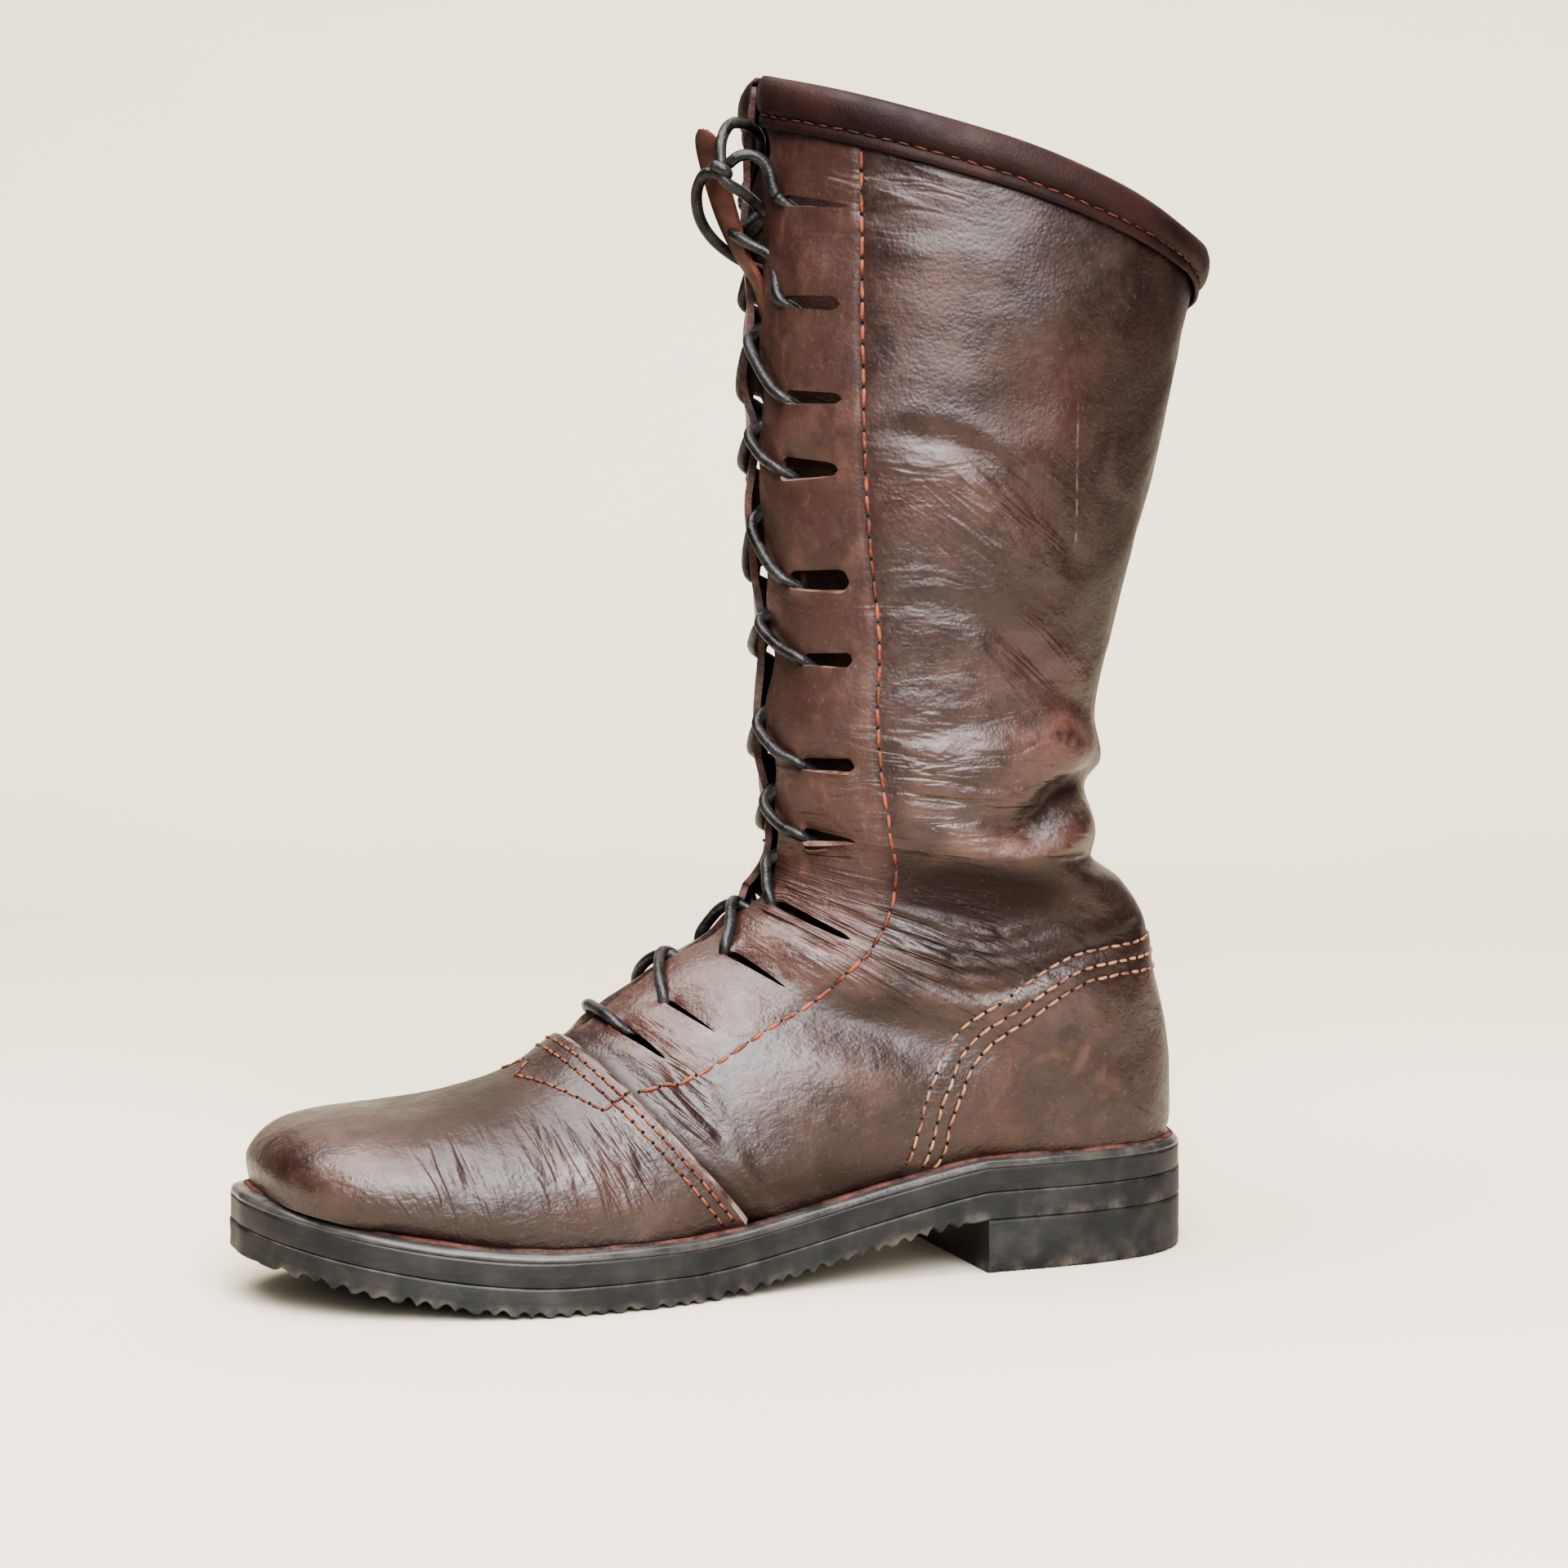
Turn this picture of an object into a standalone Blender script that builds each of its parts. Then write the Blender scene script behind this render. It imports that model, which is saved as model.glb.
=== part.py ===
"""Tall lace-up boot, left foot: leather upper with slit facings, tongue, bound collar,
welt, midsole, outsole, heel lift and a round leather lace."""
import bpy
import bmesh
import math

# ---- driving sizes, millimetres ----
SOLE_LENGTH = 300.0
OUTSOLE_T = 8.5
MIDSOLE_T = 7.4
WELT_T = 2.6
GAP = 0.3
SEAT_GAP = 0.85
TOE_SPRING = 14.3
HEEL_STEP = 16.3
HEEL_BREAST = 72.0
FLAT_TOE_END = -62.0
FLAT_WAIST_END = -25.0
LEDGE_TOE, LEDGE_SIDE, LEDGE_HEEL = 6.0, 5.0, 4.0
WALL = 2.4

# sole edge: x along the boot (toe negative), outer edge y, inner edge y
SOLE_EDGE = [
    (-150.0,   8.0,  8.0),
    (-149.0,  -3.0, 18.5),
    (-142.0, -18.0, 31.0),
    (-130.0, -30.0, 40.0),
    (-115.0, -38.5, 45.5),
    ( -95.0, -46.0, 48.0),
    ( -75.0, -50.5, 47.0),
    ( -55.0, -51.5, 44.5),
    ( -35.0, -49.5, 41.0),
    ( -10.0, -44.5, 36.5),
    (  20.0, -40.0, 33.0),
    (  50.0, -38.0, 32.5),
    (  80.0, -37.0, 34.0),
    ( 105.0, -36.0, 34.5),
    ( 125.0, -32.0, 31.0),
    ( 138.0, -25.0, 24.5),
    ( 146.0, -15.5, 15.5),
    ( 149.5,  -5.0,  5.5),
    ( 150.0,   0.0,  0.0),
]

F = None  # base on the feather line of the sole
# name, front x, front z, base x, base z, outer half width, inner half width, ridge y, belly, front roundness, base roundness
SECTIONS = [
    ("toe edge",   -144.0,   F , -118.0,   F ,  33.5, 40.0, 7.0, 0.02, 2.3, 2.0),
    ("toe wall",   -144.8, 39.5, -117.0,   F ,  35.0, 41.5, 7.0, 0.10, 2.4, 2.0),
    ("toe round",  -142.0, 45.5, -115.0,   F ,  37.0, 43.0, 6.5, 0.18, 2.4, 2.0),
    ("toe top",    -134.0, 51.5, -111.0,   F ,  39.5, 44.0, 6.0, 0.22, 2.4, 2.0),
    ("toe box",    -121.0, 54.5, -104.0,   F ,  42.0, 45.0, 5.0, 0.25, 2.4, 2.0),
    ("vamp toe",   -104.0, 56.0,  -93.0,   F ,  44.5, 45.0, 3.5, 0.25, 2.3, 2.0),
    ("vamp",        -86.0, 58.5,  -76.0,   F ,  47.0, 44.5, 2.5, 0.25, 2.2, 2.0),
    ("vamp rise",   -69.0, 63.5,  -52.0,   F ,  47.5, 42.5, 2.0, 0.24, 2.0, 2.0),
    ("throat end",  -56.0, 71.0,  -20.0,   F ,  45.0, 39.0, 1.5, 0.24, 2.0, 2.0),
    ("slit 12",     -44.0, 78.5,   18.0,   F ,  41.0, 35.0, 1.0, 0.26, 2.0, 2.0),
    ("slit 11",     -22.0, 93.0,   62.0,   F ,  38.0, 33.0, 0.5, 0.32, 2.0, 2.1),
    ("slit 10",      -4.0,104.0,   98.0,   F ,  36.8, 33.5, 0.0, 0.38, 2.0, 2.2),
    ("seat fore",     2.0,108.5,  120.0,   F ,  36.8, 34.5, 0.0, 0.44, 2.0, 2.3),
    ("seat mid",      6.0,111.0,  136.0,   F ,  37.2, 35.2, 0.0, 0.48, 2.0, 2.35),
    ("seat back",     8.5,112.8,  146.0,   F ,  37.8, 36.2, 0.0, 0.50, 2.0, 2.4),
    ("slit 9",       11.0,114.8,  145.5,  52.0, 38.6, 37.2, 0.0, 0.50, 2.0, 2.4),
    ("heel bulge",   14.5,119.0,  143.0,  70.0, 39.6, 38.4, 0.0, 0.50, 2.0, 2.4),
    ("heel top",     16.3,123.0,  138.0,  89.0, 40.4, 39.3, 0.0, 0.50, 2.0, 2.3),
    ("fold low",     17.0,127.0,  135.0, 104.0, 41.5, 40.0, 0.0, 0.50, 2.0, 2.2),
    ("fold under",   17.0,130.5,  127.0, 115.5, 41.5, 40.0, 0.0, 0.50, 2.0, 2.3),
    ("slit 8",       16.5,134.0,  116.3, 124.5, 41.5, 40.0, 0.0, 0.50, 2.0, 2.2),
    ("fold mid",     16.0,140.0,  117.0, 134.0, 42.0, 41.0, 0.0, 0.50, 2.0, 2.2),
    ("notch",        15.0,149.0,  115.0, 145.0, 42.5, 41.5, 0.0, 0.50, 2.1, 2.2),
    ("fold high",    14.2,157.0,  119.9, 154.5, 43.5, 42.5, 0.0, 0.50, 2.1, 2.2),
    ("ankle",        13.5,170.0,  118.0, 169.0, 44.0, 43.0, 0.0, 0.50, 2.1, 2.2),
    ("shaft 1",      14.5,192.0,  122.8, 192.0, 45.5, 45.0, 0.0, 0.50, 2.1, 2.2),
    ("shaft 2",      12.0,222.0,  131.0, 222.0, 49.0, 49.0, 0.0, 0.50, 2.1, 2.2),
    ("shaft 3",      11.0,252.0,  138.7, 252.0, 52.0, 52.0, 0.0, 0.50, 2.1, 2.2),
    ("shaft 4",      10.9,282.0,  145.0, 282.0, 54.5, 54.5, 0.0, 0.50, 2.1, 2.2),
    ("shaft 5",      10.9,304.0,  150.5, 304.0, 56.0, 56.0, 0.0, 0.50, 2.1, 2.2),
    ("collar",       11.5,362.0,  166.0, 362.0, 60.0, 60.0, 0.0, 0.50, 2.1, 2.2),
]
COL = {k: i for i, k in enumerate(("name", "fx", "fz", "bx", "bz", "lat", "med", "mid", "belly", "nf", "nb"))}
SEAT_BACK = [r[0] for r in SECTIONS].index("seat back")

def pchip(ys, x):
    n = len(ys)
    if x <= 0: i = 0
    else: i = min(int(x), n - 2)
    t = x - i
    def slope(k):
        if k == 0: return ys[1] - ys[0]
        if k == n - 1: return ys[-1] - ys[-2]
        a, b = ys[k] - ys[k - 1], ys[k + 1] - ys[k]
        if a * b <= 0: return 0.0
        return 2 * a * b / (a + b)
    d0, d1 = slope(i), slope(i + 1)
    a, b = ys[i], ys[i + 1]
    return (2*t**3 - 3*t*t + 1)*a + (t**3 - 2*t*t + t)*d0 + (-2*t**3 + 3*t*t)*b + (t**3 - t*t)*d1

def clamp(a, lo=0.0, hi=1.0): return max(lo, min(hi, a))
def step(a): a = clamp(a); return a*a*(3 - 2*a)

def sole_z(x):
    toe = TOE_SPRING * clamp((FLAT_TOE_END - x) / (SOLE_LENGTH/2 + FLAT_TOE_END))**1.75
    w = clamp((x - FLAT_WAIST_END) / (HEEL_BREAST - FLAT_WAIST_END))
    return toe + HEEL_STEP*(0.35*step(w) + 0.65*w**1.3)

def feather_z(x): return sole_z(x) + OUTSOLE_T + MIDSOLE_T + WELT_T + SEAT_GAP

def edge_curve(col, n=12):
    """dense sole edge of one side through the table, toe tip to heel end"""
    p = [(r[0], r[col]) for r in SOLE_EDGE]
    oth = 3 - col
    pts = [(SOLE_EDGE[1][0], SOLE_EDGE[1][oth])] + p + [(SOLE_EDGE[-2][0], SOLE_EDGE[-2][oth])]
    out = []
    for i in range(1, len(pts) - 2):
        p0, p1, p2, p3 = pts[i-1:i+3]
        for k in range(n):
            t = k / n
            out.append(tuple(0.5*(2*p1[j] + (p2[j]-p0[j])*t + (2*p0[j]-5*p1[j]+4*p2[j]-p3[j])*t*t + (3*p1[j]-p0[j]-3*p2[j]+p3[j])*t**3) for j in (0, 1)))
    out.append(p[-1])
    return out

def inset_curve(col, inset):
    c = edge_curve(col)
    sgn = 1.0 if col == 1 else -1.0
    out = []
    for i, (x, y) in enumerate(c):
        a, b = c[max(i-1, 0)], c[min(i+1, len(c)-1)]
        tx, ty = b[0]-a[0], b[1]-a[1]
        if i == 0: tx, ty = 0.0, -sgn
        if i == len(c)-1: tx, ty = 0.0, sgn
        l = math.hypot(tx, ty)
        d = inset(x) if callable(inset) else inset
        out.append((x - sgn*ty/l*d, y + sgn*tx/l*d))
    return out

def ledge(x):
    return LEDGE_SIDE + (LEDGE_TOE-LEDGE_SIDE)*step((-100-x)/40) + (LEDGE_HEEL-LEDGE_SIDE)*step((x-90)/40)

FEATHER = {1: inset_curve(1, ledge), 2: inset_curve(2, ledge)}
def feather_y(x, col):
    c = FEATHER[col]
    if x <= c[0][0]: return c[0][1]
    if x >= c[-1][0]: return c[-1][1]
    for a, b in zip(c, c[1:]):
        if a[0] <= x <= b[0]:
            return a[1] + (b[1]-a[1])*(x-a[0])/max(1e-9, b[0]-a[0])
    return c[-1][1]

def column(name): return [r[COL[name]] for r in SECTIONS]
_fz = [feather_z(r[1]) if r[2] is None else r[2] for r in SECTIONS]
_bz = [feather_z(r[3]) if r[4] is None else r[4] for r in SECTIONS]
_c = {k: column(k) for k in ("fx", "bx", "lat", "med", "mid", "belly", "nf", "nb")}

class Section:
    """half contours of one section, front ridge to base"""
    def __init__(self, v, fine=48):
        g = lambda k: pchip(_c[k], v)
        self.fx, self.fz, self.bx = g("fx"), pchip(_fz, v), g("bx")
        self.bz = feather_z(self.bx) if v <= SEAT_BACK else pchip(_bz, v)
        self.mid, self.belly, self.nf, self.nb = g("mid"), g("belly"), g("nf"), g("nb")
        self.half = {}
        H = math.hypot(self.fx-self.bx, self.fz-self.bz)
        for col, key, sgn in ((1, "lat", -1.0), (2, "med", 1.0)):
            W = g(key) - sgn*self.mid
            b = max(0.0, sgn*(feather_y(self.bx, col) - self.mid)) if v < SEAT_BACK else 0.0
            W = max(W, b + 0.05)
            k = clamp(b / W)
            end = math.acos(clamp(k**(self.nb/2)))
            pts = []
            for i in range(fine + 1):
                a = i / fine * math.pi/2
                e = 2/self.nf
                pts.append((self.belly + (1-self.belly)*math.cos(a)**e if i < fine else self.belly, W*math.sin(a)**e))
            e = 2/self.nb
            se = math.sin(end)**e
            for i in range(1, fine + 1):
                a = end*i/fine
                cy = math.cos(a)**e if i < fine or k > 0 else 0.0
                pts.append((self.belly*(1 - math.sin(a)**e/se), W*cy if i < fine else b))
            L = [0.0]
            for p, q in zip(pts, pts[1:]):
                L.append(L[-1] + math.hypot((q[0]-p[0])*H, q[1]-p[1]))
            self.half[sgn] = (pts, L)
    def length(self, side): return self.half[side][1][-1]
    def at(self, side, c):
        """point at the fraction c of the half contour from the front"""
        pts, L = self.half[side]
        s = clamp(c)*L[-1]
        lo, hi = 0, len(L)-1
        while hi - lo > 1:
            m = (lo+hi)//2
            if L[m] <= s: lo = m
            else: hi = m
        f = (s-L[lo])/max(1e-9, L[hi]-L[lo])
        t = pts[lo][0] + (pts[hi][0]-pts[lo][0])*f
        y = pts[lo][1] + (pts[hi][1]-pts[lo][1])*f
        return (self.bx + (self.fx-self.bx)*t, self.mid + side*y, self.bz + (self.fz-self.bz)*t)

# ------------------------------------------------------------------ lacing
# section number, distance of the slit's front end and back end from the front ridge, opening
SLITS = [
    ( 9.17, 12.0, 34.5, 2.0),
    ( 9.70, 17.0, 36.5, 1.6),
    (10.70, 14.0, 36.5, 2.0),
    (14.54, 10.0, 34.0, 2.4),
    (19.90, 15.5, 34.0, 1.8),
    (22.83, 18.5, 37.0, 2.0),
    (24.79, 19.0, 36.8, 2.0),
    (25.62, 14.5, 37.5, 2.6),
    (26.72, 14.0, 36.5, 3.0),
    (27.42, 16.5, 38.5, 2.0),
    (28.60, 16.5, 38.0, 2.0),
    (29.42, 15.6, 41.0, 1.8),
]
THROAT = 8.55
FACING_SEAM = 45.0
HALF_GAP = 2.6
HALF_GAP_TONGUE = 5.6
# fraction of the way round from front to back, height of the bound edge
COLLAR_LINE = [(0.0, 361.0), (0.2, 352.0), (0.4, 340.0), (0.6, 326.0), (0.8, 311.5), (1.0, 304.0)]
BINDING_RISE = 2.4
LACE_D = 3.2
TONGUE_T = 2.2
TONGUE_HALF = 14.0
INSOLE_T = 3.0
ORIGIN_X, ORIGIN_Y = 1.457, 0.0
MM = 0.001

SHAFT_START = [r[0] for r in SECTIONS].index("ankle")
_cache = {}

def section(v):
    k = round(v, 4)
    if k not in _cache:
        _cache[k] = Section(k)
    return _cache[k]

def collar_z(c):
    return pchip([r[1] for r in COLLAR_LINE], clamp(c)*(len(COLLAR_LINE)-1))

def shaft_v(z):
    lo, hi = float(SHAFT_START), len(SECTIONS) - 1.0
    for _ in range(40):
        m = (lo + hi)/2
        if pchip(_fz, m) < z: lo = m
        else: hi = m
    return (lo + hi)/2

def surf(v, side, s):
    """outer leather surface: section number, side, distance round from the front ridge"""
    sec = section(v)
    if v > SHAFT_START:
        z = pchip(_fz, v)
        top = COLLAR_LINE[0][1]
        rise = clamp((z - 190.0)/(top - 190.0))**2.6
        c = s/sec.length(side)
        sec2 = section(shaft_v(z - (top - collar_z(c))*rise))
        return sec2.at(side, s/sec.length(side))
    return sec.at(side, s/sec.length(side))

def frame_at(v, side, s):
    """point, outward normal and upward tangent of the leather surface"""
    dv, ds = 0.02, 0.4
    p = surf(v, side, s)
    a, b = surf(v - dv, side, s), surf(v + dv, side, s)
    c, d = surf(v, side, max(0.0, s - ds)), surf(v, side, s + ds)
    tv = [b[i] - a[i] for i in range(3)]
    tu = [d[i] - c[i] for i in range(3)]
    n = [tv[1]*tu[2] - tv[2]*tu[1], tv[2]*tu[0] - tv[0]*tu[2], tv[0]*tu[1] - tv[1]*tu[0]]
    if side < 0: n = [-q for q in n]
    l = math.sqrt(sum(q*q for q in n))
    t = math.sqrt(sum(q*q for q in tv))
    return p, [q/l for q in n], [q/t for q in tv]

def lift(v, side, s, h):
    p, n, _ = frame_at(v, side, s)
    return tuple(p[i] + n[i]*h for i in range(3))

def slit_ends(v):
    """front and back end of the slits, carried smoothly between rows"""
    vs = [r[0] for r in SLITS]
    v = clamp(v, vs[0], vs[-1])
    for i in range(len(vs) - 1):
        if vs[i] <= v <= vs[i+1]:
            t = step((v - vs[i])/(vs[i+1] - vs[i]))
            return tuple(SLITS[i][k] + (SLITS[i+1][k] - SLITS[i][k])*t for k in (1, 2))

def half_gap(v):
    """half the distance between the facing edges"""
    open_low = step((v - THROAT)/0.5)
    tongue_way = step((v - 27.8)/0.6)*(1.0 - step((v - 29.62)/0.2))
    return (HALF_GAP + (HALF_GAP_TONGUE - HALF_GAP)*tongue_way)*open_low

BACK_COLUMNS = (0.13, 0.27, 0.41, 0.55, 0.68, 0.80, 0.91, 1.0)

def columns(v, side):
    """distances round from the front at which the leather mesh has its columns"""
    L = section(v).length(side)
    e = half_gap(v) if v > THROAT else 0.0
    f, b = slit_ends(v)
    facing = [e, 0.5*(e + f), f, f + (b - f)*0.33, f + (b - f)*0.67, b, max(b + 4.0, FACING_SEAM)]
    laced = facing + [facing[-1] + (L - facing[-1])*k for k in BACK_COLUMNS]
    n = len(laced) - 1
    even = [e + (L - e)*k/n for k in range(n + 1)]
    w = step((v - 7.2)/1.6)
    return [a + (b - a)*w for a, b in zip(even, laced)]

# ------------------------------------------------------------------ scene
for o in list(bpy.data.objects):
    bpy.data.objects.remove(o, do_unlink=True)
boot = bpy.data.collections.new("lace_up_boot")
bpy.context.scene.collection.children.link(boot)
stand = bpy.data.objects.new("boot_origin", None)
boot.objects.link(stand)

def material(name, colour, roughness):
    m = bpy.data.materials.new(name)
    m.use_nodes = True
    b = m.node_tree.nodes["Principled BSDF"]
    b.inputs["Base Color"].default_value = (*colour, 1.0)
    b.inputs["Roughness"].default_value = roughness
    b.inputs["Metallic"].default_value = 0.0
    return m

LEATHER = (0.075, 0.030, 0.022)
def place(p): return ((p[0] - ORIGIN_X)*MM, (p[1] - ORIGIN_Y)*MM, p[2]*MM)

def piece(name, mesh, mat):
    ob = bpy.data.objects.new(name, mesh)
    ob.parent = stand
    boot.objects.link(ob)
    ob.data.materials.append(mat)
    return ob

def from_bmesh(name, bm, mat):
    bmesh.ops.recalc_face_normals(bm, faces=bm.faces)
    me = bpy.data.meshes.new(name)
    bm.to_mesh(me)
    bm.free()
    return piece(name, me, mat)

# ------------------------------------------------------------------ sole pieces
def edge_at(p, col):
    """sole edge at a running row number of the table"""
    pts = [(r[0], r[col]) for r in SOLE_EDGE]
    oth = 3 - col
    pts = [(SOLE_EDGE[1][0], SOLE_EDGE[1][oth])] + pts + [(SOLE_EDGE[-2][0], SOLE_EDGE[-2][oth])]
    i = min(int(p), len(SOLE_EDGE) - 2)
    t = p - i
    p0, p1, p2, p3 = pts[i:i+4]
    return tuple(0.5*(2*p1[j] + (p2[j]-p0[j])*t + (2*p0[j]-5*p1[j]+4*p2[j]-p3[j])*t*t + (3*p1[j]-p0[j]-3*p2[j]+p3[j])*t**3) for j in (0, 1))

def row_at_x(x):
    lo, hi = 0.0, len(SOLE_EDGE) - 1.0
    for _ in range(40):
        m = (lo + hi)/2
        if edge_at(m, 1)[0] < x: lo = m
        else: hi = m
    return (lo + hi)/2

def inset_at(p, col, inset):
    sgn = 1.0 if col == 1 else -1.0
    last = len(SOLE_EDGE) - 1.0
    x, y = edge_at(p, col)
    if p <= 0.0: tx, ty = 0.0, -sgn
    elif p >= last: tx, ty = 0.0, sgn
    else:
        a, b = edge_at(max(p - 0.05, 0.0), col), edge_at(min(p + 0.05, last), col)
        tx, ty = b[0] - a[0], b[1] - a[1]
    l = math.hypot(tx, ty)
    d = inset(x) if callable(inset) else inset
    return x - sgn*ty/l*d, y + sgn*tx/l*d

LAST = len(SOLE_EDGE) - 1.0
STATIONS = sorted({0.0, 0.35, 0.7, 1.0, 1.5, 2.0, 2.5, 3.0, 4.0, 5.0, 6.0, row_at_x(FLAT_TOE_END), row_at_x(-44.0),
                   row_at_x(FLAT_WAIST_END), 9.0, row_at_x(5.0), 10.0, row_at_x(35.0), 11.0, row_at_x(61.0), row_at_x(HEEL_BREAST),
                   12.5, 13.0, 14.0, 14.5, 15.0, 15.5, 16.0, 16.5, 17.0, 17.5, LAST})

def sole_layer(name, stations, rings, mat):
    """closed layer between rings; a ring is an inset of the sole edge and a height along the boot"""
    bm = bmesh.new()
    loops = []
    for inset, height in rings:
        sides = []
        for col in (1, 2):
            row = []
            for p in stations:
                x, y = inset_at(p, col, inset)
                if p in (0.0, LAST) and col == 2:
                    row.append(sides[0][0 if p == 0.0 else -1])
                else:
                    row.append(bm.verts.new(place((x, y, height(edge_at(p, 1)[0])))))
            sides.append(row)
        loops.append(sides)
    n = len(stations)
    def quad(*vs):
        vs = list(dict.fromkeys(vs))
        if len(vs) > 2: bm.faces.new(vs)
    for lo, hi in zip(loops, loops[1:]):
        for k in (0, 1):
            for i in range(n - 1):
                quad(lo[k][i], lo[k][i+1], hi[k][i+1], hi[k][i])
        if stations[0] > 0.0: quad(lo[0][0], lo[1][0], hi[1][0], hi[0][0])
    for cap in (loops[0], loops[-1]):
        for i in range(n - 1):
            quad(cap[0][i], cap[0][i+1], cap[1][i+1], cap[1][i])
    return from_bmesh(name, bm, mat)

rubber = material("black rubber", (0.028, 0.027, 0.027), 0.7)
sole_layer("outsole", STATIONS, [(0.0, sole_z), (0.0, lambda x: sole_z(x) + OUTSOLE_T - GAP)], rubber)
sole_layer("midsole", STATIONS, [(0.3, lambda x: sole_z(x) + OUTSOLE_T), (0.3, lambda x: sole_z(x) + OUTSOLE_T + MIDSOLE_T - GAP)],
           material("black midsole", (0.030, 0.028, 0.028), 0.55))
WELT_Z = OUTSOLE_T + MIDSOLE_T
sole_layer("welt", STATIONS, [(0.5, lambda x: sole_z(x) + WELT_Z), (0.7, lambda x: sole_z(x) + WELT_Z + 0.55*WELT_T),
                              (2.2, lambda x: sole_z(x) + WELT_Z + WELT_T)], material("welt leather", (0.060, 0.028, 0.020), 0.6))
HEEL_ROWS = [p for p in STATIONS if p >= row_at_x(HEEL_BREAST) - 1e-6]
sole_layer("heel", HEEL_ROWS, [(0.6, lambda x: 0.0), (0.0, lambda x: 3.0), (0.0, lambda x: HEEL_STEP - GAP)],
           material("black heel rubber", (0.028, 0.027, 0.027), 0.7))
INSOLE_IN = lambda x: ledge(x) + WALL + 2.3
sole_layer("insole", STATIONS, [(INSOLE_IN, lambda x: feather_z(x)), (INSOLE_IN, lambda x: feather_z(x) + INSOLE_T)],
           material("insole leather", (0.35, 0.22, 0.13), 0.8))

# ------------------------------------------------------------------ upper
def shaft_rows(z0, z1, n): return [shaft_v(z0 + (z1 - z0)*k/n) for k in range(1, n + 1)]
TOP_V = shaft_v(COLLAR_LINE[0][1] - BINDING_RISE)
ROWS = sorted({0.0, 0.6, 1.3, 2.0, 3.0, 4.0, 5.0, 6.0, 7.0, 7.8, THROAT, 8.87, 9.43, 10.2, 11.2, 12.0, 12.7, 13.3, 13.7, float(SEAT_BACK),
               15.2, 16.0, 17.0, 18.0, 19.0, 21.0, 22.0, 23.2, 23.9, 25.2, 26.2, 27.05, 28.0, 29.0, 29.7, TOP_V} | {r[0] for r in SLITS})
SLIT_AT = {r[0]: r[3] for r in SLITS}
SLIT_COLUMNS = (2, 5)

def upper_shell():
    bm = bmesh.new()
    low, high = [], []
    for v in ROWS:
        a, b = {}, {}
        for side in (-1.0, 1.0):
            cols = columns(v, side)
            for k, s in enumerate(cols):
                joined_front = k == 0 and v <= THROAT and side > 0
                joined_back = k == len(cols) - 1 and v >= SEAT_BACK and side > 0
                if joined_front or joined_back:
                    a[side, k], b[side, k] = a[-1.0, k], b[-1.0, k]
                    continue
                inside = v in SLIT_AT and SLIT_COLUMNS[0] < k < SLIT_COLUMNS[1]
                if inside:
                    p, n, t = frame_at(v, side, s)
                    g = SLIT_AT[v]*0.5
                    a[side, k] = bm.verts.new(place([p[i] - t[i]*g + n[i]*0.3 for i in range(3)]))
                    b[side, k] = bm.verts.new(place([p[i] + t[i]*g for i in range(3)]))
                else:
                    a[side, k] = b[side, k] = bm.verts.new(place(surf(v, side, s)))
        low.append(a)
        high.append(b)
    n = len(columns(0.0, -1.0))
    for i in range(len(ROWS) - 1):
        for side in (-1.0, 1.0):
            for k in range(n - 1):
                vs = list(dict.fromkeys((high[i][side, k], high[i][side, k+1], low[i+1][side, k+1], low[i+1][side, k])))
                bm.faces.new(vs)
    bmesh.ops.recalc_face_normals(bm, faces=bm.faces)
    mid = max(bm.faces, key=lambda f: f.calc_center_median().x)
    if mid.normal.x < 0:
        bmesh.ops.reverse_faces(bm, faces=bm.faces)
    me = bpy.data.meshes.new("upper")
    bm.to_mesh(me)
    bm.free()
    ob = piece("upper", me, material("brown leather", LEATHER, 0.45))
    wall = ob.modifiers.new("wall", 'SOLIDIFY')
    wall.thickness = WALL*MM
    wall.offset = -1.0
    wall.use_even_offset = True
    return ob

upper_shell()

# ------------------------------------------------------------------ tongue
# free end of the tongue where it leans out between the facings: x, z, half width
TONGUE_END = [(9.5, 299.0, 4.0), (5.0, 306.0, 4.0), (0.8, 315.0, 4.0), (-2.6, 325.0, 4.2), (-5.2, 335.0, 4.4), (-6.6, 341.0, 3.6), (-7.3, 344.0, 1.6)]
TONGUE_ROWS = [8.15, 8.5, 8.9, 9.3, 9.7, 10.2, 10.8, 11.6, 12.8, 14.0, 15.2, 16.4, 17.6, 18.8, 20.0, 21.2, 22.4, 23.4, 24.3, 25.0, 25.7, 26.3, 26.9, 27.5, 28.0, 28.4]
TONGUE_IN = WALL + 1.1
ACROSS = (-1.0, -0.5, 0.0, 0.5, 1.0)

def tongue_sheet():
    bm = bmesh.new()
    rows = []
    for v in TONGUE_ROWS:
        w = TONGUE_HALF - (TONGUE_HALF - 4.2)*step((v - 26.9)/1.3)
        rows.append([bm.verts.new(place(lift(v, -1.0 if a <= 0 else 1.0, max(abs(a)*w, 0.01), -TONGUE_IN))) for a in ACROSS])
    for x, z, w in TONGUE_END:
        rows.append([bm.verts.new(place((x, a*w, z))) for a in ACROSS])
    for lo, hi in zip(rows, rows[1:]):
        for k in range(len(ACROSS) - 1):
            bm.faces.new((lo[k], lo[k+1], hi[k+1], hi[k]))
    bmesh.ops.recalc_face_normals(bm, faces=bm.faces)
    f = min(bm.faces, key=lambda q: abs(q.calc_center_median().z - 0.2))
    if f.normal.x > 0:
        bmesh.ops.reverse_faces(bm, faces=bm.faces)
    me = bpy.data.meshes.new("tongue")
    bm.to_mesh(me)
    bm.free()
    ob = piece("tongue", me, material("tongue leather", (0.12, 0.055, 0.04), 0.7))
    wall = ob.modifiers.new("wall", 'SOLIDIFY')
    wall.thickness = TONGUE_T*MM
    wall.offset = -1.0
    wall.use_even_offset = True
    return ob

tongue_sheet()

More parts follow.
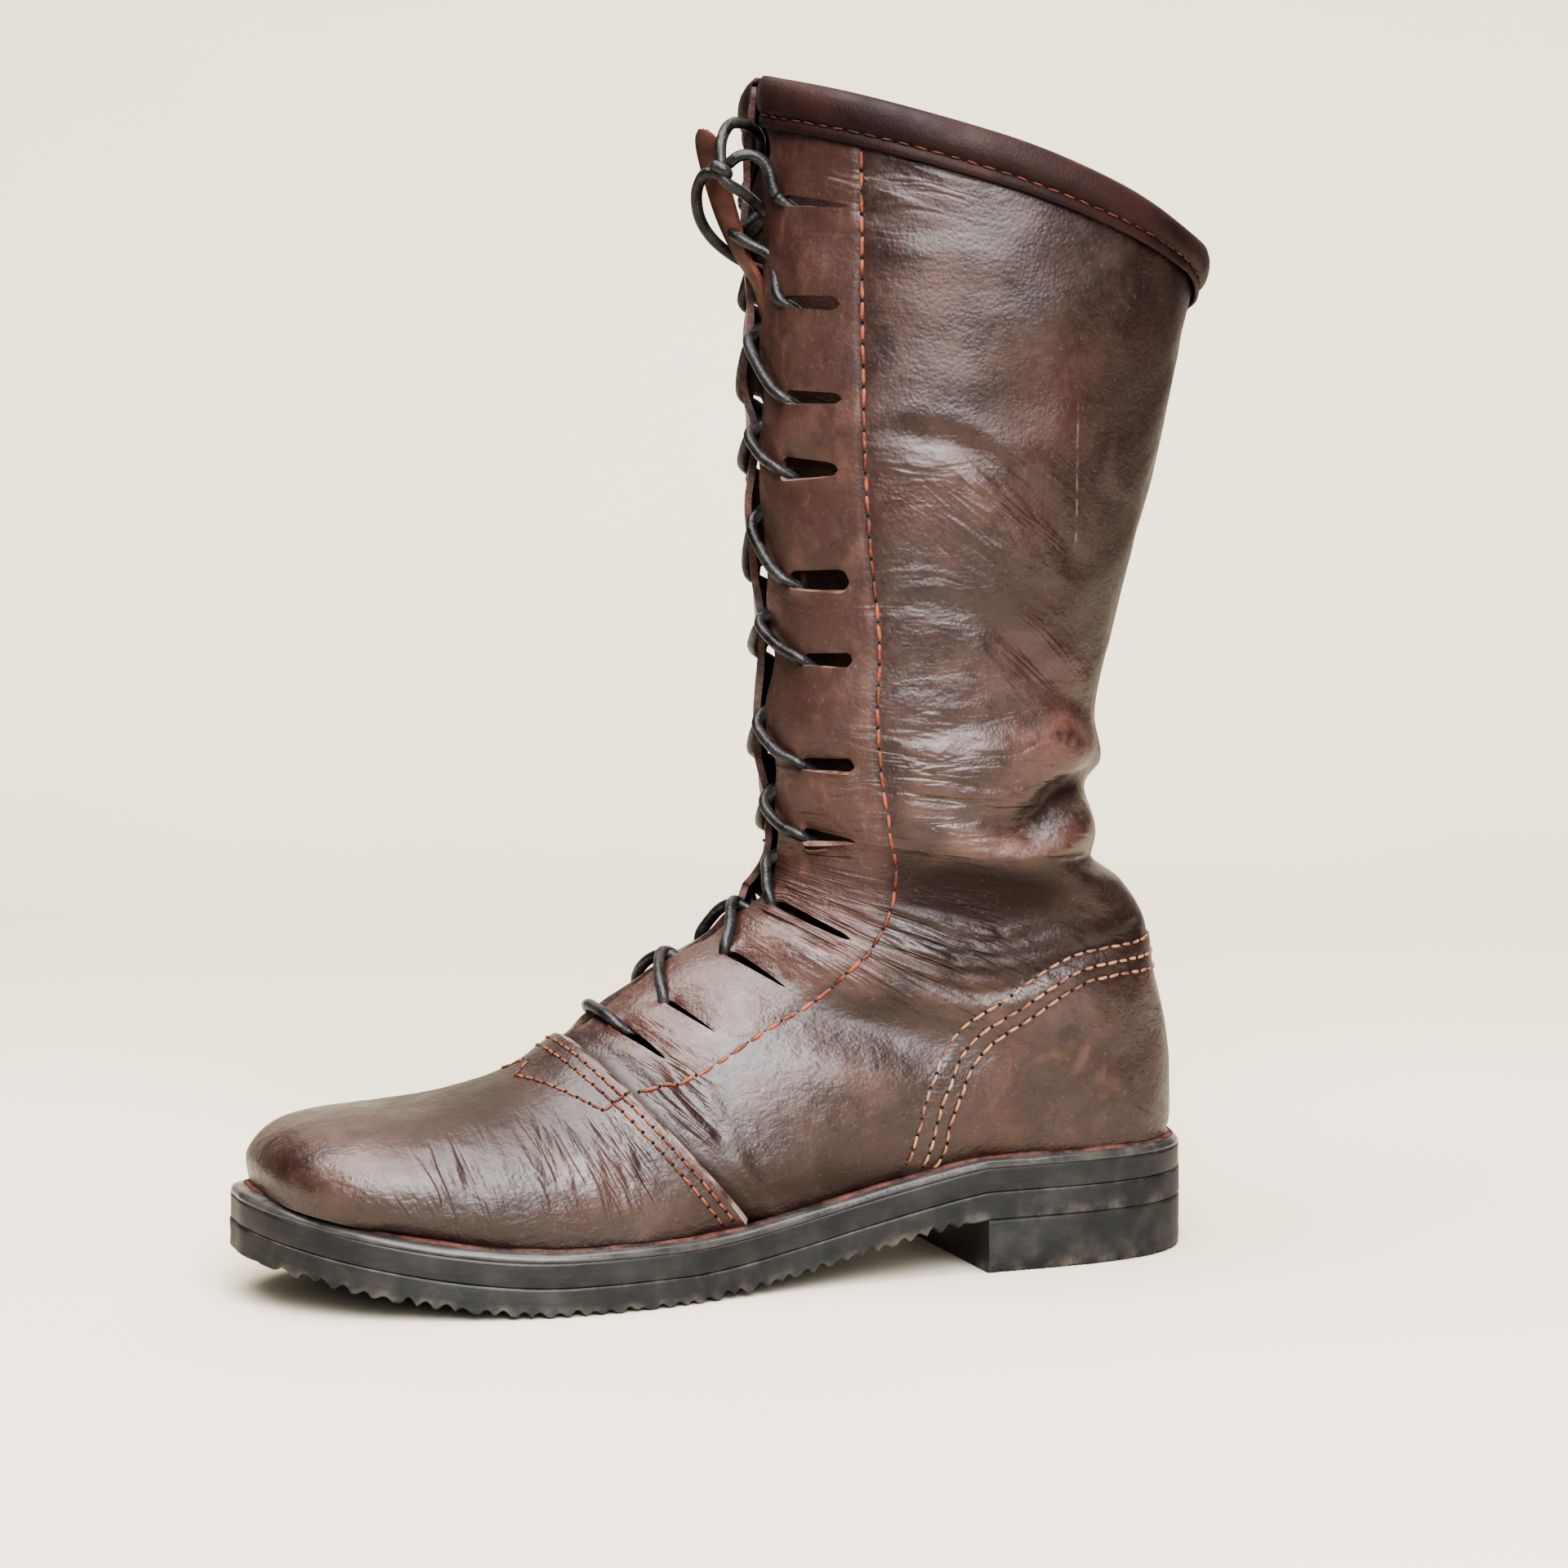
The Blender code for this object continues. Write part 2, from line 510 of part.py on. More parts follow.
# ------------------------------------------------------------------ collar binding
# folded strip in section: distance out from the leather's outer face, height above its top edge
BINDING = [(1.25, -12.4), (2.5, -12.7), (3.0, -11.0), (3.3, -8.0), (3.0, -2.5), (1.2, 1.5), (-1.2, 2.6),
           (-3.8, 1.5), (-5.4, -2.5), (-5.4, -9.5), (-3.85, -9.5), (-3.65, 0.9), (1.25, 0.9)]

def binding_strip():
    bm = bmesh.new()
    L = {side: section(TOP_V).length(side) for side in (-1.0, 1.0)}
    path = []
    for side in (-1.0, 1.0):
        half = columns(TOP_V, side)
        path += [(side, s) for s in half] if side < 0 else [(side, s) for s in reversed(half[:-1])]
    loops = []
    for side, s in path:
        p, n, t = frame_at(TOP_V, side, min(s, L[side] - 0.05))
        loops.append([bm.verts.new(place([p[i] + n[i]*o + t[i]*h for i in range(3)])) for o, h in BINDING])
    m = len(BINDING)
    for a, b in zip(loops, loops[1:]):
        for k in range(m):
            bm.faces.new((a[k], a[(k+1) % m], b[(k+1) % m], b[k]))
    bm.faces.new(loops[0])
    bm.faces.new(list(reversed(loops[-1])))
    return from_bmesh("collar_binding", bm, material("binding leather", (0.055, 0.022, 0.018), 0.35))

binding_strip()

# ------------------------------------------------------------------ lace
lace_leather = material("black lace", (0.012, 0.012, 0.013), 0.45)

def cord_curve(name, pts, d, link=True):
    cu = bpy.data.curves.new(name, 'CURVE')
    cu.dimensions = '3D'
    cu.bevel_depth = d/2*MM
    cu.bevel_resolution = 1
    cu.use_fill_caps = True
    sp = cu.splines.new('POLY')
    sp.points.add(len(pts) - 1)
    for q, p in zip(sp.points, pts):
        q.co = (*place(p), 1.0)
    ob = bpy.data.objects.new(name, cu)
    return ob

def smooth_path(pts, n):
    """even points on a smooth curve through the route's points"""
    q = [pts[0]] + list(pts) + [pts[-1]]
    out = []
    for i in range(1, len(q) - 2):
        p0, p1, p2, p3 = q[i-1:i+3]
        for k in range(n):
            t = k/n
            out.append(tuple(0.5*(2*p1[j] + (p2[j]-p0[j])*t + (2*p0[j]-5*p1[j]+4*p2[j]-p3[j])*t*t + (3*p1[j]-p0[j]-3*p2[j]+p3[j])*t**3) for j in range(3)))
    out.append(tuple(pts[-1]))
    return out

def joined(name, routes, d):
    """solid lace strands joined where they cross"""
    dep = bpy.context.evaluated_depsgraph_get
    strands = []
    for i, r in enumerate(routes):
        cu = cord_curve(name + "_strand", r, d)
        boot.objects.link(cu)
        me = bpy.data.meshes.new_from_object(cu.evaluated_get(dep()))
        bpy.data.objects.remove(cu, do_unlink=True)
        bm = bmesh.new()
        bm.from_mesh(me)
        bmesh.ops.remove_doubles(bm, verts=bm.verts, dist=1e-6)
        bmesh.ops.recalc_face_normals(bm, faces=bm.faces)
        bm.to_mesh(me)
        bm.free()
        me.materials.clear()
        strands.append(me)
    ob = piece(name, strands[0], lace_leather)
    for me in strands[1:]:
        other = bpy.data.objects.new(name + "_strand", me)
        boot.objects.link(other)
        m = ob.modifiers.new("join", 'BOOLEAN')
        m.operation = 'UNION'
        m.solver = 'EXACT'
        m.object = other
        dg = dep()
        done = bpy.data.meshes.new_from_object(ob.evaluated_get(dg))
        ob.modifiers.clear()
        ob.data = done
        bpy.data.objects.remove(other, do_unlink=True)
    return ob

LACE_UP = LACE_D/2 + 0.75
LACED = SLITS
TONGUE_CLEAR = 7.4  # the highest crossing passes in front of the tongue's end
joined("lace_bar", [smooth_path([lift(LACED[0][0], -1.0, LACED[0][1] - 1.0, LACE_UP), lift(LACED[0][0], -1.0, 5.5, LACE_UP),
                                 lift(LACED[0][0], -1.0, 0.3, LACE_UP + 0.2), lift(LACED[0][0], 1.0, 5.5, LACE_UP),
                                 lift(LACED[0][0], 1.0, LACED[0][1] - 1.0, LACE_UP)], 2)], LACE_D)
def crossing(i):
    """strands leave the slit below on each side and cross over the gap half way to the slit above"""
    v0, f0, v1 = LACED[i][0], LACED[i][1], LACED[i+1][0]
    vm, vt = v0 + (v1 - v0)*0.5, v0 + (v1 - v0)*0.62
    out = TONGUE_CLEAR if v0 > 28.0 else 0.0
    routes = []
    for side in (-1.0, 1.0):
        over = 0.0 if side > 0 else 0.95
        pts = [lift(v0 + (v1 - v0)*0.03, side, f0 - 1.0, LACE_UP), lift(v0 + (v1 - v0)*0.27, side, f0*0.5, LACE_UP + 0.4*out),
               lift(vm, side, 0.3, LACE_UP + 0.5 + over + out), lift(vt, -side, f0*0.28, LACE_UP + 0.4*over + 0.9*out)]
        routes.append(smooth_path(pts, 2))
    return routes

for i in range(1, len(LACED) - 1):
    joined("lace_cross_%02d" % i, crossing(i), LACE_D)

# knot at the top of the lacing, beside the tongue's end
top_v, top_f = LACED[-1][0], LACED[-1][1]
KNOT = (-3.5, -10.0, 333.0)
near = [lift(top_v, -1.0, top_f - 1.0, LACE_UP), lift(top_v + 0.14, -1.0, top_f*0.62, LACE_UP + 1.5), (2.5, -11.5, 338.5), KNOT, (-4.2, -9.5, 324.0), (-1.5, -8.6, 314.0)]
far = [lift(top_v + 0.03, 1.0, top_f - 1.0, LACE_UP), lift(top_v + 0.1, 1.0, top_f*0.62, LACE_UP + 0.6), (5.6, 4.6, 340.0), (1.0, -1.5, 346.0), (-3.4, -8.0, 342.0), KNOT]
joined("lace_knot", [smooth_path(near, 3), smooth_path(far, 3)], LACE_D)
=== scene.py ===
import math
import bpy
import numpy as np
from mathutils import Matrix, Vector


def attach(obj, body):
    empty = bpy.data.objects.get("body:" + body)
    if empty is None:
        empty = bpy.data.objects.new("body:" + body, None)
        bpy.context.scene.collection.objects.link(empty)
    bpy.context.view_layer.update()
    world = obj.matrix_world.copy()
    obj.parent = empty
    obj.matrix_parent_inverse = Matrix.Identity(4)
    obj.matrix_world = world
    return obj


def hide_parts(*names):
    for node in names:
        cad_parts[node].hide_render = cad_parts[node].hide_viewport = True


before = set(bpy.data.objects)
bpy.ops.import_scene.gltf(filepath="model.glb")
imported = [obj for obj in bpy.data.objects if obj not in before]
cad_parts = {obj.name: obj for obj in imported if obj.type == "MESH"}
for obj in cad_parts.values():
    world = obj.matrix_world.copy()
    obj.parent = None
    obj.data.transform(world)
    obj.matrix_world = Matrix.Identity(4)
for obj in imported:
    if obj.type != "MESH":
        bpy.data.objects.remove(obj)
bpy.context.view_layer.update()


# ---- driving sizes, millimetres ----
SOLE_LENGTH = 300.0
OUTSOLE_T = 8.5
MIDSOLE_T = 7.4
WELT_T = 2.6
GAP = 0.3
SEAT_GAP = 0.85
TOE_SPRING = 14.3
HEEL_STEP = 16.3
HEEL_BREAST = 72.0
FLAT_TOE_END = -62.0
FLAT_WAIST_END = -25.0
LEDGE_TOE, LEDGE_SIDE, LEDGE_HEEL = 6.0, 5.0, 4.0
WALL = 2.4

# sole edge: x along the boot (toe negative), outer edge y, inner edge y
SOLE_EDGE = [
    (-150.0,   8.0,  8.0),
    (-149.0,  -3.0, 18.5),
    (-142.0, -18.0, 31.0),
    (-130.0, -30.0, 40.0),
    (-115.0, -38.5, 45.5),
    ( -95.0, -46.0, 48.0),
    ( -75.0, -50.5, 47.0),
    ( -55.0, -51.5, 44.5),
    ( -35.0, -49.5, 41.0),
    ( -10.0, -44.5, 36.5),
    (  20.0, -40.0, 33.0),
    (  50.0, -38.0, 32.5),
    (  80.0, -37.0, 34.0),
    ( 105.0, -36.0, 34.5),
    ( 125.0, -32.0, 31.0),
    ( 138.0, -25.0, 24.5),
    ( 146.0, -15.5, 15.5),
    ( 149.5,  -5.0,  5.5),
    ( 150.0,   0.0,  0.0),
]

F = None   # base on the feather line of the sole
# name, front x, front z, base x, base z, outer half width, inner half width, ridge y, belly, front roundness, base roundness
SECTIONS = [
    ("toe edge",   -144.0,   F , -118.0,   F ,  33.5, 40.0, 7.0, 0.02, 2.3, 2.0),
    ("toe wall",   -144.8, 39.5, -117.0,   F ,  35.0, 41.5, 7.0, 0.10, 2.4, 2.0),
    ("toe round",  -142.0, 45.5, -115.0,   F ,  37.0, 43.0, 6.5, 0.18, 2.4, 2.0),
    ("toe top",    -134.0, 51.5, -111.0,   F ,  39.5, 44.0, 6.0, 0.22, 2.4, 2.0),
    ("toe box",    -121.0, 54.5, -104.0,   F ,  42.0, 45.0, 5.0, 0.25, 2.4, 2.0),
    ("vamp toe",   -104.0, 56.0,  -93.0,   F ,  44.5, 45.0, 3.5, 0.25, 2.3, 2.0),
    ("vamp",        -86.0, 58.5,  -76.0,   F ,  47.0, 44.5, 2.5, 0.25, 2.2, 2.0),
    ("vamp rise",   -69.0, 63.5,  -52.0,   F ,  47.5, 42.5, 2.0, 0.24, 2.0, 2.0),
    ("throat end",  -56.0, 71.0,  -20.0,   F ,  45.0, 39.0, 1.5, 0.24, 2.0, 2.0),
    ("slit 12",     -44.0, 78.5,   18.0,   F ,  41.0, 35.0, 1.0, 0.26, 2.0, 2.0),
    ("slit 11",     -22.0, 93.0,   62.0,   F ,  38.0, 33.0, 0.5, 0.32, 2.0, 2.1),
    ("slit 10",      -4.0,104.0,   98.0,   F ,  36.8, 33.5, 0.0, 0.38, 2.0, 2.2),
    ("seat fore",     2.0,108.5,  120.0,   F ,  36.8, 34.5, 0.0, 0.44, 2.0, 2.3),
    ("seat mid",      6.0,111.0,  136.0,   F ,  37.2, 35.2, 0.0, 0.48, 2.0, 2.35),
    ("seat back",     8.5,112.8,  146.0,   F ,  37.8, 36.2, 0.0, 0.50, 2.0, 2.4),
    ("slit 9",       11.0,114.8,  145.5,  52.0, 38.6, 37.2, 0.0, 0.50, 2.0, 2.4),
    ("heel bulge",   14.5,119.0,  143.0,  70.0, 39.6, 38.4, 0.0, 0.50, 2.0, 2.4),
    ("heel top",     16.3,123.0,  138.0,  89.0, 40.4, 39.3, 0.0, 0.50, 2.0, 2.3),
    ("fold low",     17.0,127.0,  135.0, 104.0, 41.5, 40.0, 0.0, 0.50, 2.0, 2.2),
    ("fold under",   17.0,130.5,  127.0, 115.5, 41.5, 40.0, 0.0, 0.50, 2.0, 2.3),
    ("slit 8",       16.5,134.0,  116.3, 124.5, 41.5, 40.0, 0.0, 0.50, 2.0, 2.2),
    ("fold mid",     16.0,140.0,  117.0, 134.0, 42.0, 41.0, 0.0, 0.50, 2.0, 2.2),
    ("notch",        15.0,149.0,  115.0, 145.0, 42.5, 41.5, 0.0, 0.50, 2.1, 2.2),
    ("fold high",    14.2,157.0,  119.9, 154.5, 43.5, 42.5, 0.0, 0.50, 2.1, 2.2),
    ("ankle",        13.5,170.0,  118.0, 169.0, 44.0, 43.0, 0.0, 0.50, 2.1, 2.2),
    ("shaft 1",      14.5,192.0,  122.8, 192.0, 45.5, 45.0, 0.0, 0.50, 2.1, 2.2),
    ("shaft 2",      12.0,222.0,  131.0, 222.0, 49.0, 49.0, 0.0, 0.50, 2.1, 2.2),
    ("shaft 3",      11.0,252.0,  138.7, 252.0, 52.0, 52.0, 0.0, 0.50, 2.1, 2.2),
    ("shaft 4",      10.9,282.0,  145.0, 282.0, 54.5, 54.5, 0.0, 0.50, 2.1, 2.2),
    ("shaft 5",      10.9,304.0,  150.5, 304.0, 56.0, 56.0, 0.0, 0.50, 2.1, 2.2),
    ("collar",       11.5,362.0,  166.0, 362.0, 60.0, 60.0, 0.0, 0.50, 2.1, 2.2),
]
COL = {k: i for i, k in enumerate(("name", "fx", "fz", "bx", "bz", "lat", "med", "mid", "belly", "nf", "nb"))}
SEAT_BACK = [r[0] for r in SECTIONS].index("seat back")

def pchip(ys, x):
    n = len(ys)
    if x <= 0: i = 0
    else: i = min(int(x), n - 2)
    t = x - i
    def slope(k):
        if k == 0: return ys[1] - ys[0]
        if k == n - 1: return ys[-1] - ys[-2]
        a, b = ys[k] - ys[k - 1], ys[k + 1] - ys[k]
        if a * b <= 0: return 0.0
        return 2 * a * b / (a + b)
    d0, d1 = slope(i), slope(i + 1)
    a, b = ys[i], ys[i + 1]
    return (2*t**3 - 3*t*t + 1)*a + (t**3 - 2*t*t + t)*d0 + (-2*t**3 + 3*t*t)*b + (t**3 - t*t)*d1

def clamp(a, lo=0.0, hi=1.0): return max(lo, min(hi, a))
def step(a): a = clamp(a); return a*a*(3 - 2*a)

def sole_z(x):
    toe = TOE_SPRING * clamp((FLAT_TOE_END - x) / (SOLE_LENGTH/2 + FLAT_TOE_END))**1.75
    w = clamp((x - FLAT_WAIST_END) / (HEEL_BREAST - FLAT_WAIST_END))
    return toe + HEEL_STEP*(0.35*step(w) + 0.65*w**1.3)

def feather_z(x): return sole_z(x) + OUTSOLE_T + MIDSOLE_T + WELT_T + SEAT_GAP

def edge_curve(col, n=12):
    """dense sole edge of one side through the table, toe tip to heel end"""
    p = [(r[0], r[col]) for r in SOLE_EDGE]
    oth = 3 - col
    pts = [(SOLE_EDGE[1][0], SOLE_EDGE[1][oth])] + p + [(SOLE_EDGE[-2][0], SOLE_EDGE[-2][oth])]
    out = []
    for i in range(1, len(pts) - 2):
        p0, p1, p2, p3 = pts[i-1:i+3]
        for k in range(n):
            t = k / n
            out.append(tuple(0.5*(2*p1[j] + (p2[j]-p0[j])*t + (2*p0[j]-5*p1[j]+4*p2[j]-p3[j])*t*t + (3*p1[j]-p0[j]-3*p2[j]+p3[j])*t**3) for j in (0, 1)))
    out.append(p[-1])
    return out

def inset_curve(col, inset):
    c = edge_curve(col)
    sgn = 1.0 if col == 1 else -1.0
    out = []
    for i, (x, y) in enumerate(c):
        a, b = c[max(i-1, 0)], c[min(i+1, len(c)-1)]
        tx, ty = b[0]-a[0], b[1]-a[1]
        if i == 0: tx, ty = 0.0, -sgn
        if i == len(c)-1: tx, ty = 0.0, sgn
        l = math.hypot(tx, ty)
        d = inset(x) if callable(inset) else inset
        out.append((x - sgn*ty/l*d, y + sgn*tx/l*d))
    return out

def ledge(x):
    return LEDGE_SIDE + (LEDGE_TOE-LEDGE_SIDE)*step((-100-x)/40) + (LEDGE_HEEL-LEDGE_SIDE)*step((x-90)/40)

FEATHER = {1: inset_curve(1, ledge), 2: inset_curve(2, ledge)}
def feather_y(x, col):
    c = FEATHER[col]
    if x <= c[0][0]: return c[0][1]
    if x >= c[-1][0]: return c[-1][1]
    for a, b in zip(c, c[1:]):
        if a[0] <= x <= b[0]:
            return a[1] + (b[1]-a[1])*(x-a[0])/max(1e-9, b[0]-a[0])
    return c[-1][1]

def column(name): return [r[COL[name]] for r in SECTIONS]
_fz = [feather_z(r[1]) if r[2] is None else r[2] for r in SECTIONS]
_bz = [feather_z(r[3]) if r[4] is None else r[4] for r in SECTIONS]
_c = {k: column(k) for k in ("fx", "bx", "lat", "med", "mid", "belly", "nf", "nb")}

class Section:
    """half contours of one section, front ridge to base"""
    def __init__(self, v, fine=48):
        g = lambda k: pchip(_c[k], v)
        self.fx, self.fz, self.bx = g("fx"), pchip(_fz, v), g("bx")
        self.bz = feather_z(self.bx) if v <= SEAT_BACK else pchip(_bz, v)
        self.mid, self.belly, self.nf, self.nb = g("mid"), g("belly"), g("nf"), g("nb")
        self.half = {}
        H = math.hypot(self.fx-self.bx, self.fz-self.bz)
        for col, key, sgn in ((1, "lat", -1.0), (2, "med", 1.0)):
            W = g(key) - sgn*self.mid
            b = max(0.0, sgn*(feather_y(self.bx, col) - self.mid)) if v < SEAT_BACK else 0.0
            W = max(W, b + 0.05)
            k = clamp(b / W)
            end = math.acos(clamp(k**(self.nb/2)))
            pts = []
            for i in range(fine + 1):
                a = i / fine * math.pi/2
                e = 2/self.nf
                pts.append((self.belly + (1-self.belly)*math.cos(a)**e if i < fine else self.belly, W*math.sin(a)**e))
            e = 2/self.nb
            se = math.sin(end)**e
            for i in range(1, fine + 1):
                a = end*i/fine
                cy = math.cos(a)**e if i < fine or k > 0 else 0.0
                pts.append((self.belly*(1 - math.sin(a)**e/se), W*cy if i < fine else b))
            L = [0.0]
            for p, q in zip(pts, pts[1:]):
                L.append(L[-1] + math.hypot((q[0]-p[0])*H, q[1]-p[1]))
            self.half[sgn] = (pts, L)
    def length(self, side): return self.half[side][1][-1]
    def at(self, side, c):
        """point at the fraction c of the half contour from the front"""
        pts, L = self.half[side]
        s = clamp(c)*L[-1]
        lo, hi = 0, len(L)-1
        while hi - lo > 1:
            m = (lo+hi)//2
            if L[m] <= s: lo = m
            else: hi = m
        f = (s-L[lo])/max(1e-9, L[hi]-L[lo])
        t = pts[lo][0] + (pts[hi][0]-pts[lo][0])*f
        y = pts[lo][1] + (pts[hi][1]-pts[lo][1])*f
        return (self.bx + (self.fx-self.bx)*t, self.mid + side*y, self.bz + (self.fz-self.bz)*t)

# ------------------------------------------------------------------ sizes shared with the part
# section number, distance of the slit's front end and back end from the front ridge, opening, how far back it is widest
SLITS = [
    ( 9.17, 12.0, 34.5, 4.2, 0.55),
    ( 9.70, 17.0, 36.5, 2.4, 0.60),
    (10.70, 14.0, 36.5, 3.4, 0.60),
    (14.54, 10.0, 38.5, 3.0, 0.80),
    (19.90, 15.5, 34.0, 4.8, 1.20),
    (22.83, 18.5, 37.0, 4.8, 1.70),
    (24.79, 19.0, 36.8, 4.8, 1.60),
    (25.62, 14.5, 37.5, 7.2, 1.70),
    (26.72, 14.0, 36.5, 7.4, 1.50),
    (27.42, 16.5, 38.5, 4.6, 1.60),
    (28.60, 16.5, 38.0, 4.4, 1.30),
    (29.42, 15.6, 41.0, 3.2, 1.00),
]
# slits that run out to a point at the back, from 0 (round) to 1
KEEN = {9.17: 0.9, 9.70: 1.0, 10.70: 1.0, 14.54: 0.7, 19.90: 0.9, 26.72: 0.6, 27.42: 0.4, 29.42: 0.8}
THROAT = 8.55
VAMP_EDGE = 8.36
FACING_SEAM = 45.0
HALF_GAP = 2.6
HALF_GAP_TONGUE = 5.6
COLLAR_LINE = [(0.0, 361.0), (0.2, 352.0), (0.4, 340.0), (0.6, 326.0), (0.8, 311.5), (1.0, 304.0)]
BINDING_RISE = 2.4
LACE_D = 3.5
LACE_UP = LACE_D/2 + 0.75
ORIGIN_X = 1.457
MM = 0.001
LEATHER_T = 2.2
TONGUE_IN = 6.0
TONGUE_T = 2.0
LAT, MED = -1.0, 1.0

# ------------------------------------------------------------------ leather surface as arrays
PER_ROW, ROUND = 20, 121
NV = len(SECTIONS)
VS = np.linspace(0.0, NV - 1.0, (NV - 1)*PER_ROW + 1)
CS = np.linspace(0.0, 1.0, ROUND)
_all = [Section(round(float(v), 5), 32) for v in VS]
BASE = np.array([[[sec.at(side, c) for c in CS] for sec in _all] for side in (LAT, MED)])
LENGTHS = np.array([[sec.length(side) for sec in _all] for side in (LAT, MED)])
FRONT_Z = np.array([pchip(_fz, float(v)) for v in VS])
SHAFT = [r[0] for r in SECTIONS].index("ankle")
ON_SHAFT = VS >= SHAFT
CC = np.linspace(0.0, 1.0, 201)
CZ = np.array([pchip([r[1] for r in COLLAR_LINE], float(c)*(len(COLLAR_LINE) - 1)) for c in CC])
TOP_Z = COLLAR_LINE[0][1]
TOP_V = float(np.interp(TOP_Z - BINDING_RISE, FRONT_Z[ON_SHAFT], VS[ON_SHAFT]))

def half_length(v, side):
    return np.where(side < 0, np.interp(v, VS, LENGTHS[0]), np.interp(v, VS, LENGTHS[1]))

def surf(v, side, s):
    """outer leather surface: section number, side, distance round from the front ridge"""
    v, side, s = np.broadcast_arrays(np.asarray(v, float), np.asarray(side, float), np.asarray(s, float))
    L = half_length(v, side)
    c = s/L
    other = half_length(v, -side)
    over = (c > 1.0) & (v >= SEAT_BACK)
    side = np.where((c < 0.0) | over, -side, side)
    c = np.clip(np.where(c < 0.0, -s/other, np.where(over, 1.0 - (s - L)/other, c)), 0.0, 1.0)
    z = np.interp(v, VS, FRONT_Z)
    drop = (TOP_Z - np.interp(c, CC, CZ))*np.clip((z - 190.0)/(TOP_Z - 190.0), 0.0, 1.0)**2.6
    v2 = np.where(v > SHAFT, np.interp(z - drop, FRONT_Z[ON_SHAFT], VS[ON_SHAFT]), v)
    a = np.clip(v2, 0.0, NV - 1.0)*PER_ROW
    i = np.minimum(a.astype(int), len(VS) - 2)
    b = c*(ROUND - 1)
    j = np.minimum(b.astype(int), ROUND - 2)
    fa, fb = (a - i)[..., None], (b - j)[..., None]
    k = (side > 0).astype(int)
    return (BASE[k, i, j]*(1 - fa)*(1 - fb) + BASE[k, i+1, j]*fa*(1 - fb) + BASE[k, i, j+1]*(1 - fa)*fb + BASE[k, i+1, j+1]*fa*fb)

def unit(a):
    return a/np.maximum(1e-9, np.linalg.norm(a, axis=-1, keepdims=True))

def frame_at(v, side, s):
    """point, outward normal and upward tangent"""
    v, side, s = np.broadcast_arrays(np.asarray(v, float), np.asarray(side, float), np.asarray(s, float))
    tv = surf(v + 0.05, side, s) - surf(v - 0.05, side, s)
    tu = surf(v, side, s + 1.2) - surf(v, side, s - 1.2)
    n = np.cross(tv, tu)*np.where(side < 0, -1.0, 1.0)[..., None]
    return surf(v, side, s), unit(n), unit(tv)

def lift(v, side, s, h):
    p, n, _ = frame_at(v, side, s)
    return p + n*np.asarray(h, float)[..., None]

def smooth(a):
    a = np.clip(a, 0.0, 1.0)
    return a*a*(3 - 2*a)

def carried(v, col):
    """a slit's front or back end, carried smoothly between the slits"""
    vs = np.array([r[0] for r in SLITS])
    ys = np.array([r[col] for r in SLITS])
    v = np.clip(v, vs[0], vs[-1])
    i = np.clip(np.searchsorted(vs, v) - 1, 0, len(vs) - 2)
    return ys[i] + (ys[i+1] - ys[i])*smooth((v - vs[i])/(vs[i+1] - vs[i]))

def between_slits(v):
    """0 at a slit, 1 half way to the next"""
    vs = np.array([r[0] for r in SLITS])
    i = np.clip(np.searchsorted(vs, v) - 1, 0, len(vs) - 2)
    u = np.clip((v - vs[i])/(vs[i+1] - vs[i]), 0, 1)
    return np.sin(math.pi*u)

def front_edge(v, side):
    """distance of the facing's edge from the ridge, a little wavy"""
    z = np.interp(v, VS, FRONT_Z) + 9.0*(side > 0)
    way = smooth((v - 27.8)/0.6)*(1.0 - smooth((v - 29.62)/0.2))
    e = HALF_GAP + (HALF_GAP_TONGUE - HALF_GAP)*way
    wave = 0.5*np.sin(z/10.5) + 0.4*np.sin(z/4.9 + 1.3) + 1.3 - 1.9*between_slits(v)
    return np.maximum(e + wave*smooth((v - 9.2)/1.5), 1.1)*smooth((v - THROAT)/0.5)

